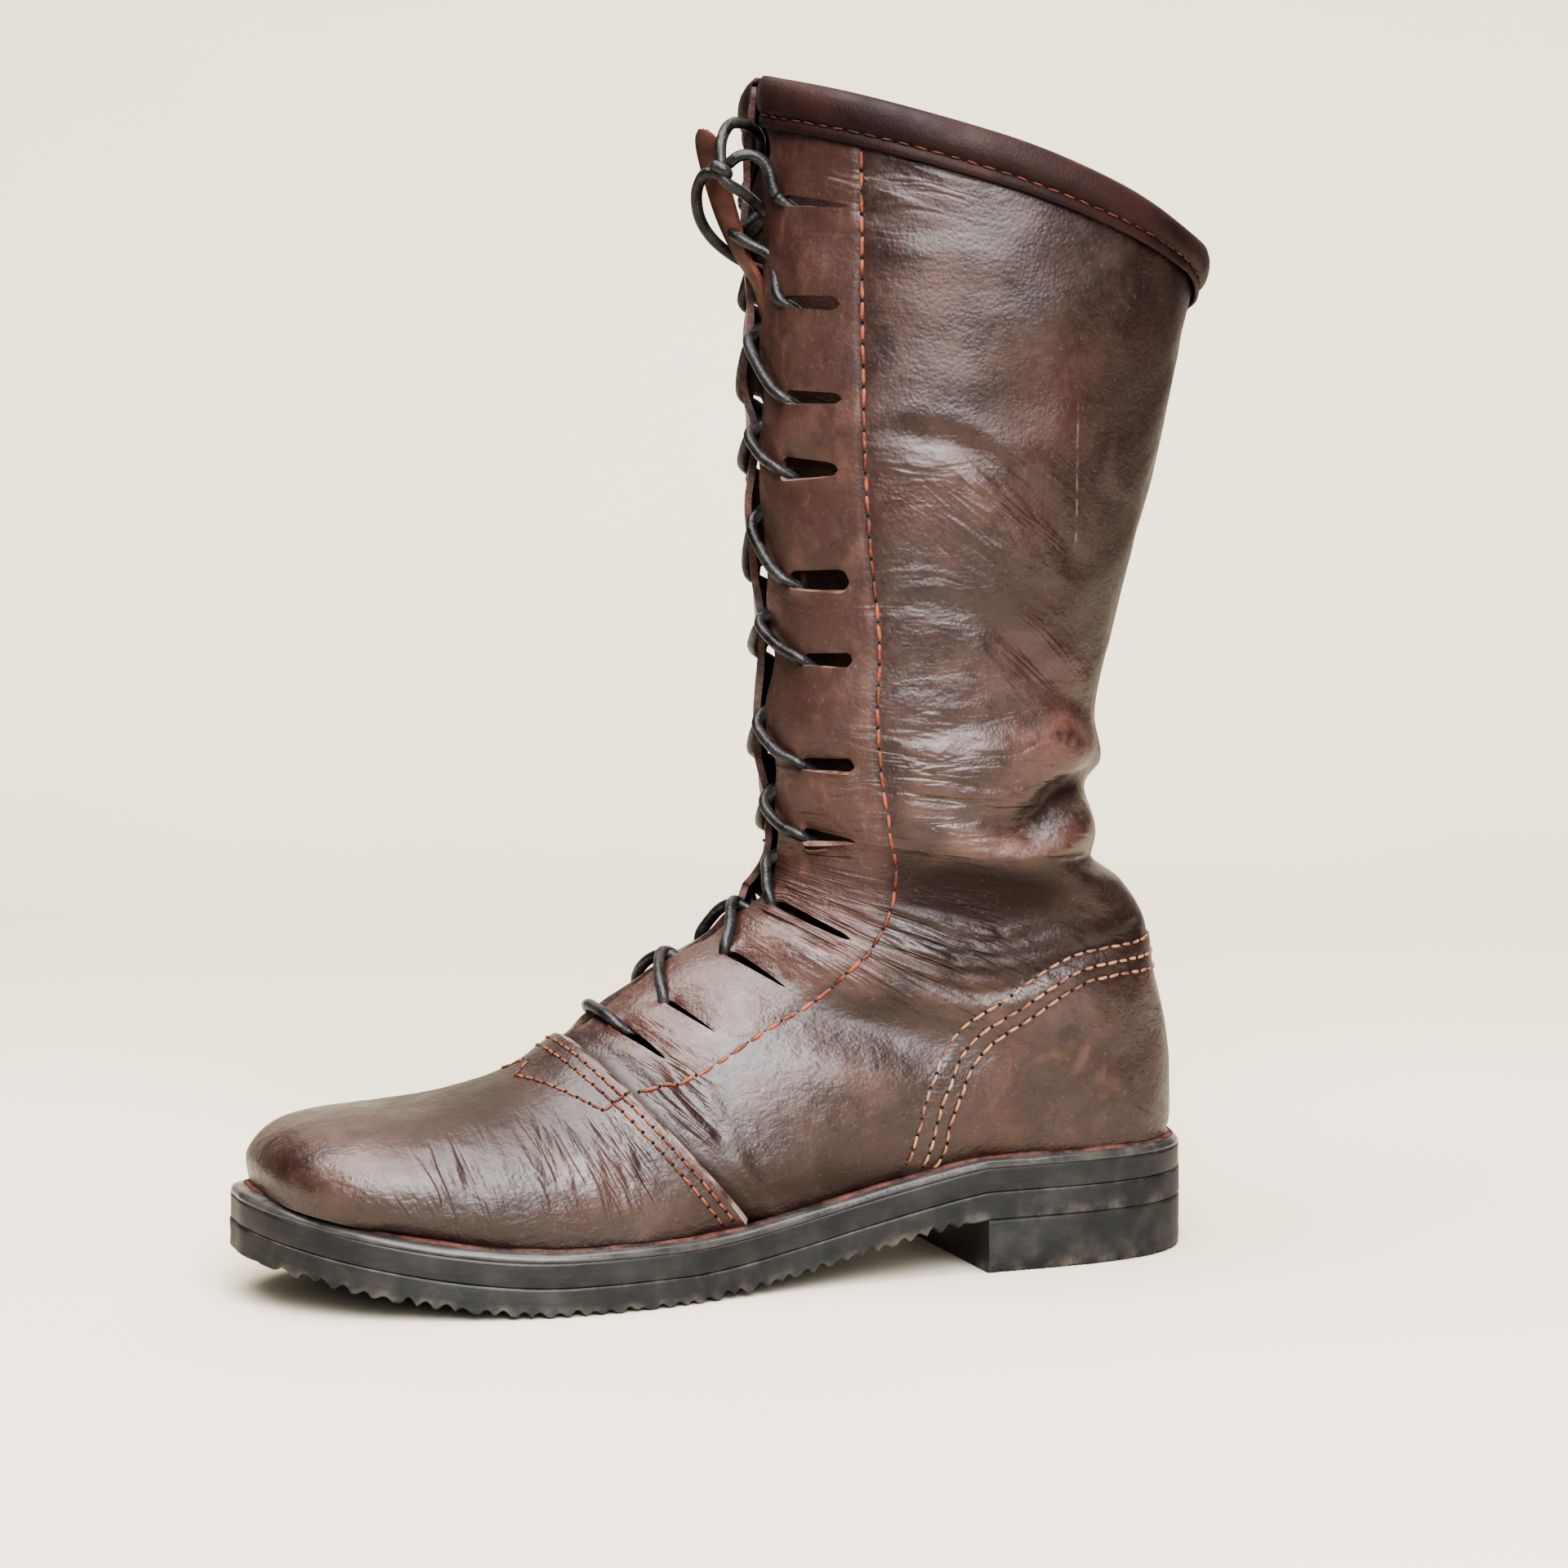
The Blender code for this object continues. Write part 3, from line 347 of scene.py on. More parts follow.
# ------------------------------------------------------------------ relief of the worn leather
# both sides: kind, half width, depth (troughs positive, ridges negative), then points (x, z) along the crease
CREASES = [
    ("ankle valley", 5.2, 3.5, [(112, 148), (107, 149), (96, 146), (86, 139), (77, 135), (64, 138), (54, 141)]),
    ("ankle ridge", 8.0, -2.8, [(104, 163), (84, 160), (66, 158), (48, 156)]),
    ("second ridge", 6.5, -3.6, [(112, 131), (104, 131), (97, 129), (84, 127.5), (72, 131), (60, 136), (48, 139)]),
    ("hollow", 13.0, 3.7, [(36, 124), (46, 120), (60, 116), (78, 112), (95, 108), (112, 106)]),
    ("low fold 1", 1.9, 1.7, [(18, 103), (31, 99), (45, 93), (59, 88.5), (70, 87.5), (84, 89.5), (100, 94), (124, 100)]),
    ("low fold 2", 1.7, 1.4, [(24, 106), (36, 102), (49, 97), (62, 92.5), (73, 92), (87, 94), (104, 98), (126, 103)]),
    ("low fold 3", 1.6, 1.2, [(30, 109), (42, 105), (54, 101), (66, 97), (77, 96.5), (90, 98.5), (106, 102)]),
    ("low fold 4", 1.6, 0.9, [(38, 111), (50, 107), (62, 103), (74, 101), (88, 103), (104, 106)]),
    ("low fold 5", 1.5, 0.7, [(40, 91), (52, 87), (64, 84.5), (76, 85), (88, 87)]),
    ("low fold 6", 1.8, 0.7, [(46, 113), (60, 109), (74, 106), (90, 108)]),
    ("quarter ridge", 8.0, -2.6, [(8, 101), (21, 96), (37, 90), (53, 84.5), (66, 80)]),
    ("quarter hollow", 8.0, 2.4, [(10, 85), (24, 81), (45, 77), (62, 73)]),
    ("quarter swell", 14.0, -1.6, [(-12, 58), (8, 59), (30, 57)]),
    ("shaft fold 1", 3.2, 1.5, [(36, 253), (45, 252.5), (55, 250.5), (67, 245), (79, 235), (91, 221.5), (97, 214)]),
    ("shaft fold 2", 2.2, 0.9, [(58, 244), (70, 236), (84, 223)]),
    ("shaft fold 3", 2.2, 0.8, [(58, 238), (72, 229), (88, 214)]),
    ("shaft ridge", 10.0, -0.9, [(40, 242), (52, 240), (66, 232), (80, 220), (90, 208)]),
    ("shaft hollow",  14.0,  0.8, [(60, 268), (90, 262)]),
    ("low shaft fold", 3.8, 1.3, [(59, 203), (68, 197), (86, 182), (104, 169)]),
    ("low shaft line", 2.6,  0.3, [(34, 203), (49, 203), (60, 201)]),
    ("dimple",         7.0,  0.5, [(52, 211), (60, 209)]),
    ("ankle line 1",   2.0,  0.5, [(52, 151), (68, 149), (84, 152)]),
    ("ankle line 2",   1.8,  0.5, [(44, 146), (58, 145), (72, 143)]),
    ("ankle line 3",   2.2,  0.5, [(46, 165), (64, 168), (86, 170)]),
    ("collar line 1",  2.4,  0.6, [(17, 330), (32, 330), (47, 323)]),
    ("collar line 2",  2.2,  0.5, [(20, 323), (34, 318), (50, 318)]),
    ("collar line 3",  2.6,  0.5, [(32, 311), (50, 312)]),
    ("vamp 1a",        1.5,  0.55, [(-98, 49), (-97, 33)]),
    ("vamp 1b", 1.6, 0.55, [(-94, 48), (-91, 31)]),
    ("vamp 1c",        1.4,  0.6, [(-91, 47), (-87, 32)]),
    ("vamp 2a", 1.6, 0.5, [(-68, 56), (-69, 39)]),
    ("vamp 2b",        1.5,  0.6, [(-65, 54), (-64, 40)]),
    ("vamp 2c",        1.4,  0.5, [(-62, 52), (-60, 42)]),
    ("vamp 3a", 1.6, 0.55, [(-51, 53), (-49, 31)]),
    ("vamp 3b", 1.6, 0.65, [(-47, 52), (-45, 32)]),
    ("vamp 3c",        1.5,  0.5, [(-43, 49), (-40, 34)]),
    ("quarter 1", 2.2, 0.9, [(-30, 72), (-20, 55), (-13, 43)]),
    ("quarter 2",      1.6,  0.5, [(-28, 68), (-21, 51)]),
]
# counter and its three stitched rows: outer row and inner row (x, z)
COUNTER_OUT = [(140, 100.5), (124, 98.7), (98, 96), (77, 85.6), (64.6, 78), (58, 70), (51.7, 58), (49, 48), (47, 41), (44, 30)]
COUNTER_IN = [(141, 90), (137.6, 89), (104, 88), (82.5, 77), (71, 69), (66, 63), (62, 54), (59, 46), (58, 38), (55, 31)]

def densify(pts, step_mm):
    p = np.asarray(pts, float)
    q = np.vstack([2*p[0] - p[1], p, 2*p[-1] - p[-2]])
    out = []
    for i in range(1, len(q) - 2):
        n = max(2, int(np.linalg.norm(q[i+1] - q[i])/step_mm))
        t = np.linspace(0, 1, n, endpoint=False)[:, None]
        out.append(0.5*(2*q[i] + (q[i+1] - q[i-1])*t + (2*q[i-1] - 5*q[i] + 4*q[i+1] - q[i+2])*t*t + (3*q[i] - q[i-1] - 3*q[i+1] + q[i+2])*t**3))
    return np.vstack(out + [p[-1:]])

_flat = {LAT: BASE[0].reshape(-1, 3), MED: BASE[1].reshape(-1, 3)}
def on_side(side, xz):
    """points of one side's leather at the given x and z"""
    g = _flat[side]
    return np.array([g[np.argmin((g[:, 0] - x)**2 + (g[:, 2] - z)**2)] for x, z in xz])

_lines = {}
def crease_line(name, side, pts):
    if (name, side) not in _lines:
        d = densify(pts, 2.5)
        if side > 0: d = d + np.c_[2.5*np.sin(d[:, 1]*0.9), 1.5*np.sin(d[:, 0]*0.7)]*0.5
        _lines[name, side] = on_side(side, d)
    return _lines[name, side]

def line_distance(P, line):
    """distance to a polyline and how far along it, from 0 to 1"""
    best, along = np.full(len(P), 1e9), np.zeros(len(P))
    seg = np.linalg.norm(np.diff(line, axis=0), axis=1)
    cum = np.r_[0, np.cumsum(seg)]
    for i in range(len(line) - 1):
        a, d = line[i], line[i+1] - line[i]
        t = np.clip((P - a) @ d/max(1e-9, d @ d), 0, 1)
        r = np.linalg.norm(P - a - t[:, None]*d, axis=1)
        m = r < best
        best[m], along[m] = r[m], (cum[i] + t[m]*seg[i])/cum[-1]
    return best, along

def wander(P, w, seed):
    """slow smooth noise from crossed waves"""
    out = np.zeros(len(P))
    for k in range(4):
        a = seed*1.7 + k*2.399
        d = np.array([math.cos(a)*math.cos(k + seed), math.sin(a), math.sin(k*1.3 + seed)*0.9])
        out += np.sin(P @ d*(2*math.pi/w)*(1 + 0.35*k) + seed*3.1 + k)
    return out/4

def inside_polygon(x, z, poly):
    r = np.zeros(len(x), bool)
    q = poly[-1]
    for p in poly:
        c = ((p[1] > z) != (q[1] > z)) & (x < (q[0] - p[0])*(z - p[1])/((q[1] - p[1]) or 1e-9) + p[0])
        r ^= c
        q = p
    return r

def per_section(side, s):
    """millimetres of leather to one section number at the vamp's edge"""
    L = half_length(np.full(np.shape(s), VAMP_EDGE), side)
    s = np.minimum(s, L*0.999)
    return np.linalg.norm(surf(VAMP_EDGE + 0.1, side, s) - surf(VAMP_EDGE - 0.1, side, s), axis=-1)/0.2

def edge_way(v, side, s):
    """distance behind the vamp's edge, mm"""
    return (v - VAMP_EDGE)*per_section(side, s)

COUNTER_AREA = [tuple(p) for p in densify(COUNTER_OUT, 3.0)] + [(44, 10), (170, 10), (170, 100.5)]
def relief(P, side, v, s):
    """height of the worn surface over the last's surface, mm"""
    D = np.zeros(len(P))
    up = smooth((v - 9.0)/2.0)
    D += (0.45*wander(P, 62, 1) + 0.28*wander(P, 31, 2))*(0.35 + 0.65*up)
    D += 0.12*wander(P, 15, 3)
    for sd in (LAT, MED):
        m = np.flatnonzero(side == sd)
        for name, w, depth, pts in CREASES:
            line = crease_line(name, sd, pts)
            near = m[np.all((P[m] > line.min(0) - 3.2*w) & (P[m] < line.max(0) + 3.2*w), axis=1)]
            if not len(near): continue
            d, t = line_distance(P[near] + 0.175*min(w, 2.6)*np.c_[wander(P[near], 9, 5), wander(P[near], 8, 6), wander(P[near], 9, 7)], line)
            ends = np.sqrt(np.clip(np.sin(math.pi*np.clip(t*0.92 + 0.04, 0, 1)), 0, 1))
            if depth > 0:
                shape = np.exp(-(d/w)**2) - 0.42*np.exp(-((d - 2.0*w)/(0.9*w))**2)
            else:
                shape = np.exp(-(d/w)**2)
            D[near] -= depth*shape*ends
        d, _ = line_distance(P[m], crease_line("counter", sd, COUNTER_OUT))
        ins = inside_polygon(P[m, 0], P[m, 2], COUNTER_AREA)
        low = smooth((104 - P[m, 2])/4)
        D[m] += np.where(ins, 0.55*smooth(d/1.6), 0.0)*low - 0.25*np.exp(-(d/0.8)**2)*low
    facing = smooth((v - 8.7)/0.3)*(1 - smooth((v - 30.2)/0.2))
    D += facing*(0.30*(1 - smooth((s - 42.5)/4.0)) - 0.38*np.exp(-((s - FACING_SEAM)/1.1)**2))
    D += facing*0.9*between_slits(v)*np.exp(-((s - 22)/14)**2)*smooth((v - 9.0)/0.5)
    e = front_edge(v, side)
    D += facing*0.7*np.exp(-(s - e)/4.0)*np.sin(np.interp(v, VS, FRONT_Z)/6.1 + side)
    D += facing*np.where(side > 0, (2.6 + 1.0*np.sin(np.interp(v, VS, FRONT_Z)/8.3))*np.exp(-np.maximum(s - e, 0)/7.0), 0.0)*smooth((v - 11.0)/4.0)
    d = edge_way(v, side, s)
    D += np.where(d <= 0.85, 0.9*(1 - smooth(-d/13.0)), -1.0*(1 - smooth((d - 1.7)/8.0)) + 0.7*np.exp(-((d - 10.0)/3.0)**2)*smooth((s - 20)/20))
    return D

def slit_shift(P, T, N, side, v, s, upper_lip):
    """movement of the leather round the open slits"""
    M = np.zeros_like(P)
    for vk, f, b, g, skew in SLITS:
        m = np.flatnonzero((np.abs(v - vk) < 1.2) & (s > f - 2) & (s < b + 2))
        if not len(m): continue
        q = surf(np.full(len(m), vk), side[m], s[m])
        d = np.linalg.norm(P[m] - q, axis=1)
        t = np.clip((s[m] - f)/(b - f), 0, 1)
        blunt = np.sqrt(1 - (1 - np.clip(t/0.16, 0, 1))**2)*np.sqrt(1 - (1 - np.clip((1 - t)/0.16, 0, 1))**2)*(0.74 + 0.26*t)
        keen = 1.22*np.sqrt(1 - (1 - np.clip(t/0.14, 0, 1))**2)*(1 - t)**0.7
        lens = blunt + (keen - blunt)*KEEN.get(vk, 0.0)
        sign = np.where((v[m] > vk) | ((v[m] == vk) & upper_lip[m]), 1.0, -1.0)
        M[m] += T[m]*(sign*lens*0.5*g*np.exp(-d/6.0))[:, None]
        proud = 2.4 if abs(vk - 14.54) < 0.01 else 1.0 if vk < 27.0 else 0.8 if vk < 28.0 else 0.35
        set_in = -0.9 if vk < 27.0 else -0.4 if vk < 28.0 else 0.25
        out = np.where(sign > 0, set_in, proud)*lens*np.exp(-d/(3.2 + 1.8*max(proud - 1.0, 0.0)))
        M[m] += N[m]*out[:, None]
    return M

# ------------------------------------------------------------------ building helpers
def place(P):
    return (np.asarray(P, float) - np.array([ORIGIN_X, 0.0, 0.0]))*MM

def mesh_object(name, P, faces, mats, index=None, sharp=None, attrs=None):
    me = bpy.data.meshes.new(name)
    me.from_pydata(place(P).tolist(), [], [tuple(int(q) for q in f) for f in faces])
    for m in mats: me.materials.append(m)
    if index is not None:
        me.polygons.foreach_set("material_index", np.asarray(index, np.int32))
    me.polygons.foreach_set("use_smooth", np.ones(len(me.polygons), bool))
    for key, val in (attrs or {}).items():
        val = np.asarray(val, np.float32)
        a = me.attributes.new(key, 'FLOAT_VECTOR' if val.ndim == 2 else 'FLOAT', 'POINT')
        a.data.foreach_set("vector" if val.ndim == 2 else "value", val.ravel())
    if sharp is not None and len(sharp):
        ev = np.zeros(len(me.edges)*2, np.int32)
        me.edges.foreach_get("vertices", ev)
        ev = np.sort(ev.reshape(-1, 2), axis=1)
        key = ev[:, 0].astype(np.int64)*10000000 + ev[:, 1]
        sh = np.sort(np.asarray(sharp, np.int64).reshape(-1, 2), axis=1)
        flag = np.isin(key, sh[:, 0]*10000000 + sh[:, 1])
        a = me.attributes.new("sharp_edge", 'BOOLEAN', 'EDGE')
        a.data.foreach_set("value", flag)
    me.update()
    ob = bpy.data.objects.new(name, me)
    bpy.context.scene.collection.objects.link(ob)
    return ob

def vertex_normals(P, quads):
    q = np.asarray(quads)
    n = np.cross(P[q[:, 2]] - P[q[:, 0]], P[q[:, 3]] - P[q[:, 1]])
    out = np.zeros_like(P)
    for k in range(4): np.add.at(out, q[:, k], n)
    return unit(out)

def walled(P, quads, thick, attrs, outer_index=None):
    """gives a sheet of quads its thickness inward, with a rim round every open edge"""
    q = np.asarray(quads)
    N = vertex_normals(P, q)
    n = len(P)
    both = np.vstack([P, P - N*thick])
    inner = q[:, ::-1] + n
    e = np.vstack([q[:, [k, (k+1) % 4]] for k in range(4)])
    es = np.sort(e, axis=1)
    _, first, count = np.unique(es[:, 0].astype(np.int64)*10000000 + es[:, 1], return_index=True, return_counts=True)
    rim = e[first[count == 1]]
    rimf = np.c_[rim[:, 1], rim[:, 0], rim[:, 0] + n, rim[:, 1] + n]
    faces = np.vstack([q, inner, rimf])
    outer_index = np.zeros(len(q), int) if outer_index is None else outer_index
    index = np.r_[outer_index, np.full(len(inner), 1), np.full(len(rimf), 2)]
    sharp = np.vstack([rim, rim + n])
    return both, faces, index, sharp, {k: np.concatenate([a, a]) for k, a in attrs.items()}, N

def tube(line, radius, sides=10):
    """round cord along a line, its ends closed flat"""
    p = np.asarray(line, float)
    t = unit(np.gradient(p, axis=0))
    ref = np.array([0.0, 0.0, 1.0]) if abs(t[0, 2]) < 0.9 else np.array([1.0, 0.0, 0.0])
    u = unit(np.cross(t[0], ref))
    V = []
    for i in range(len(p)):
        u = unit(u - (u @ t[i])*t[i])
        w = np.cross(t[i], u)
        a = np.arange(sides)*2*math.pi/sides
        V.append(p[i] + radius*(np.cos(a)[:, None]*u + np.sin(a)[:, None]*w))
    V = np.vstack(V)
    F = []
    for i in range(len(p) - 1):
        for k in range(sides):
            F.append((i*sides + k, i*sides + (k+1) % sides, (i+1)*sides + (k+1) % sides, (i+1)*sides + k))
    return V, F, [tuple(range(sides))[::-1], tuple(range((len(p)-1)*sides, len(p)*sides))]

def resample(line, step_mm):
    p = np.asarray(line, float)
    d = np.r_[0, np.cumsum(np.linalg.norm(np.diff(p, axis=0), axis=1))]
    n = max(2, int(round(d[-1]/step_mm)) + 1)
    q = np.linspace(0, d[-1], n)
    return np.c_[tuple(np.interp(q, d, p[:, k]) for k in range(3))]

# ------------------------------------------------------------------ materials
def srgb(r, g, b):
    return tuple(((c/255)/12.92 if c/255 <= 0.04045 else ((c/255 + 0.055)/1.055)**2.4) for c in (r, g, b))

class Shade:
    """short way to wire a material"""
    def __init__(self, name):
        self.m = bpy.data.materials.new(name)
        self.m.use_nodes = True
        self.t = self.m.node_tree
        self.b = self.t.nodes["Principled BSDF"]
    def node(self, kind, **props):
        n = self.t.nodes.new(kind)
        for k, v in props.items(): setattr(n, k, v)
        return n
    def put(self, value, socket):
        if isinstance(value, bpy.types.NodeSocket): self.t.links.new(value, socket)
        else: socket.default_value = value
    def attr(self, name, vector=False):
        n = self.node("ShaderNodeAttribute", attribute_name=name)
        return n.outputs["Vector"] if vector else n.outputs["Fac"]
    def where(self):
        return self.node("ShaderNodeTexCoord").outputs["Object"]
    def scaled(self, vec, scale, turn=(0.0, 0.0, 0.0)):
        n = self.node("ShaderNodeMapping")
        self.put(vec, n.inputs["Vector"])
        n.inputs["Scale"].default_value = scale
        n.inputs["Rotation"].default_value = turn
        return n.outputs["Vector"]
    def noise(self, vec, scale, detail=3.0, rough=0.55, warp=0.0):
        n = self.node("ShaderNodeTexNoise")
        self.put(vec, n.inputs["Vector"])
        n.inputs["Scale"].default_value = scale
        n.inputs["Detail"].default_value = detail
        n.inputs["Roughness"].default_value = rough
        n.inputs["Distortion"].default_value = warp
        return n.outputs["Fac"]
    def cells(self, vec, scale, feature='F1'):
        n = self.node("ShaderNodeTexVoronoi", feature=feature)
        self.put(vec, n.inputs["Vector"])
        n.inputs["Scale"].default_value = scale
        return n.outputs["Distance"]
    def math(self, op, a, b=0.0, clamp=False):
        n = self.node("ShaderNodeMath", operation=op, use_clamp=clamp)
        self.put(a, n.inputs[0])
        self.put(b, n.inputs[1])
        return n.outputs[0]
    def span(self, x, lo, hi, a=0.0, b=1.0):
        n = self.node("ShaderNodeMapRange", interpolation_type='SMOOTHSTEP')
        self.put(x, n.inputs["Value"])
        for k, v in (("From Min", lo), ("From Max", hi), ("To Min", a), ("To Max", b)): n.inputs[k].default_value = v
        return n.outputs["Result"]
    def mix(self, f, a, b):
        n = self.node("ShaderNodeMix", data_type='RGBA')
        self.put(f, n.inputs["Factor"])
        for v, k in ((a, 6), (b, 7)):
            self.put((*v, 1.0) if isinstance(v, tuple) and len(v) == 3 else v, n.inputs[k])
        return n.outputs[2]
    def bump(self, height, strength, distance, under=None):
        n = self.node("ShaderNodeBump")
        self.put(height, n.inputs["Height"])
        self.put(strength, n.inputs["Strength"])
        n.inputs["Distance"].default_value = distance
        if under is not None: self.put(under, n.inputs["Normal"])
        return n.outputs["Normal"]
    def done(self, colour, rough, normal=None, **more):
        self.put((*colour, 1.0) if isinstance(colour, tuple) else colour, self.b.inputs["Base Color"])
        self.put(rough, self.b.inputs["Roughness"])
        if normal is not None: self.put(normal, self.b.inputs["Normal"])
        for k, v in more.items(): self.put(v, self.b.inputs[k.replace("_", " ")])
        return self.m

def leather_material():
    k = Shade("brown_leather")
    arc, pos = k.attr("arc", True), k.where()
    big, mid, fine = k.noise(pos, 14, 4, 0.55, 0.4), k.noise(pos, 75, 4, 0.6), k.noise(pos, 420, 3, 0.6)
    tone = k.math('ADD', k.math('MULTIPLY', big, 0.45), k.math('ADD', k.math('MULTIPLY', mid, 0.3), k.math('MULTIPLY', fine, 0.25)))
    c = k.mix(k.span(tone, 0.36, 0.66), srgb(38, 23, 20), srgb(56, 35, 30))
    c = k.mix(k.math('MULTIPLY', k.span(k.noise(pos, 24, 4, 0.55), 0.48, 0.68), 0.42), c, srgb(70, 37, 29))
    # greyish mottling in the colour: partly wax bloom, partly painted sheen; the same spots are also made a little
    # glossier
    bloom_and_sheen = k.span(k.noise(k.scaled(pos, (1.0, 1.0, 1.3)), 34, 5, 0.62, 0.6), 0.50, 0.72)
    c = k.mix(k.math('MULTIPLY', bloom_and_sheen, 0.55), c, srgb(76, 61, 59))
    c = k.mix(k.math('MULTIPLY', k.attr("tab"), 0.55), c, srgb(74, 45, 36))
    # clouds of lighter and darker wax on the facing and the counter
    cloud = k.span(k.noise(k.scaled(pos, (1.0, 1.0, 0.8)), 95, 4, 0.6, 0.5), 0.50, 0.70)
    c = k.mix(k.math('MULTIPLY', cloud, k.math('MULTIPLY', k.attr("cloudy"), 0.55)), c, srgb(104, 72, 62))
    shade = k.span(k.noise(k.scaled(pos, (0.8, 1.0, 1.2)), 62, 4, 0.6, 0.5), 0.50, 0.70)
    c = k.mix(k.math('MULTIPLY', shade, k.math('MULTIPLY', k.attr("cloudy"), 0.6)), c, srgb(34, 23, 22))
    # lighter leather: wear at the vamp's edge and on raised folds, together with painted highlight on the fold ridges
    c = k.mix(k.math('MULTIPLY', k.math('MULTIPLY', k.attr("pale"), k.span(mid, 0.3, 0.6)), 0.7, True), c, srgb(112, 80, 71))
    # painted shade: dark brown laid into the colour in fold hollows, creases, just behind the vamp's edge and on broad
    # patches such as the counter, the vamp top and the back of the shaft
    c = k.mix(k.math('MULTIPLY', k.attr("deep"), 0.9, True), c, srgb(29, 14, 9))
    c = k.mix(k.math('MULTIPLY', k.attr("seam"), 0.75, True), c, srgb(34, 17, 13))
    grime = k.math('MULTIPLY', k.attr("grime"), k.span(k.noise(pos, 90, 4), 0.38, 0.6))
    c = k.mix(k.math('MULTIPLY', grime, 0.7, True), c, srgb(42, 31, 28))
    speck = k.span(k.noise(pos, 700, 2, 0.6), 0.63, 0.72)
    c = k.mix(k.math('MULTIPLY', speck, 0.07), c, srgb(170, 142, 132))
    pit = k.span(k.noise(pos, 560, 2, 0.6), 0.62, 0.72)
    c = k.mix(k.math('MULTIPLY', pit, 0.20), c, srgb(34, 20, 16))
    # one long pale scratch on the outer side of the shaft
    xyz = k.node("ShaderNodeSeparateXYZ")
    k.put(pos, xyz.inputs[0])
    off = k.math('ABSOLUTE', k.math('SUBTRACT', k.math('ADD', xyz.outputs[0], k.math('MULTIPLY', xyz.outputs[2], 0.045)), 0.1036))
    thin = k.span(off, 0.0001, 0.0006, 1.0, 0.0)
    tall = k.math('MULTIPLY', k.span(xyz.outputs[2], 0.217, 0.224), k.span(xyz.outputs[2], 0.258, 0.266, 1.0, 0.0))
    near = k.span(xyz.outputs[1], -0.01, 0.0, 1.0, 0.0)
    mark = k.math('MULTIPLY', k.math('MULTIPLY', thin, tall), k.math('MULTIPLY', near, k.span(k.noise(pos, 260, 3), 0.36, 0.56)))
    c = k.mix(k.math('MULTIPLY', mark, 0.16), c, srgb(176, 156, 148))
    grain = k.math('MULTIPLY', k.span(k.cells(pos, 760), 0.0, 0.75), 0.6)
    grain = k.math('ADD', grain, k.math('MULTIPLY', k.noise(pos, 1500, 2), 0.5))
    n = k.bump(grain, 0.34, 0.00026)
    def wrinkle(vec, scale, mask):
        r = k.math('ABSOLUTE', k.math('SUBTRACT', k.noise(vec, scale, 2, 0.5, 0.5), 0.5))
        r = k.span(r, 0.0, 0.19)
        return k.math('MULTIPLY', k.math('SUBTRACT', 1.0, r), mask)
    level = wrinkle(k.scaled(arc, (0.24, 1.0, 1.0)), 150, k.attr("fold_h"))
    lean = wrinkle(k.scaled(k.scaled(arc, (1.0, 1.0, 1.0), (0.0, 0.0, -0.70)), (0.16, 1.0, 1.0)), 170, k.attr("fold_d"))
    cross = wrinkle(k.scaled(arc, (0.20, 1.0, 1.0)), 165, k.attr("fold_v"))
    lines = k.math('ADD', level, k.math('ADD', lean, cross))
    n = k.bump(k.math('SUBTRACT', 1.0, lines), 0.60, 0.0013, n)
    # the wrinkle grooves are darkened in colour too: painted shade in the creases
    c = k.mix(k.math('MULTIPLY', lines, 0.14, True), c, srgb(30, 16, 11))
    wide = k.noise(k.scaled(pos, (0.75, 0.9, 1.25)), 310, 3, 0.55, 0.3)
    # the pebble stands out more on the foot than on the shaft
    n = k.bump(wide, k.span(xyz.outputs[2], 0.10, 0.24, 0.48, 0.17), 0.0009, n)
    rough = k.math('ADD', k.span(k.math('ADD', k.math('MULTIPLY', mid, 0.55), k.math('MULTIPLY', fine, 0.45)), 0.35, 0.65, 0.35, 0.47),
                   k.math('ADD', k.math('MULTIPLY', k.attr("deep"), 0.16), k.math('SUBTRACT', k.math('MULTIPLY', k.attr("dull"), 0.10), k.math('MULTIPLY', bloom_and_sheen, 0.07))))
    return k.done(c, rough, n, Specular_IOR_Level=k.span(k.attr("deep"), 0.0, 1.0, 0.64, 0.22), Coat_Weight=0.14, Coat_Roughness=0.36)

def plain_leather(name, dark, light, scale, rough, grain=0.4, coat=0.0, shine=0.4):
    k = Shade(name)
    pos = k.where()
    a = k.noise(pos, scale, 4, 0.6)
    c = k.mix(k.span(a, 0.35, 0.66), dark, light)
    g = k.math('ADD', k.cells(pos, 900), k.noise(pos, 1600, 2))
    return k.done(c, k.span(k.noise(pos, scale*3, 3), 0.3, 0.7, rough - 0.07, rough + 0.08), k.bump(g, grain, 0.0002), Coat_Weight=coat, Coat_Roughness=0.3, Specular_IOR_Level=shine)

def rubber_material(name, dark, light, rough, scale=70):
    k = Shade(name)
    pos = k.where()
    a = k.math('ADD', k.math('MULTIPLY', k.noise(pos, scale, 3, 0.5), 0.7), k.math('MULTIPLY', k.noise(k.scaled(pos, (0.4, 0.4, 3.0)), scale*5, 3), 0.3))
    c = k.mix(k.span(a, 0.30, 0.74), dark, light)
    dust = k.math('MULTIPLY', k.attr("dust"), k.span(k.noise(pos, 120, 4), 0.40, 0.75))
    c = k.mix(k.math('MULTIPLY', dust, 0.5, True), c, srgb(150, 140, 128))
    n = k.bump(k.math('ADD', k.noise(pos, 700, 2), k.noise(k.scaled(pos, (0.2, 0.2, 1.0)), 500, 2)), 0.25, 0.0003)
    return k.done(c, k.span(a, 0.3, 0.7, rough - 0.05, rough + 0.07), n, Specular_IOR_Level=0.4)

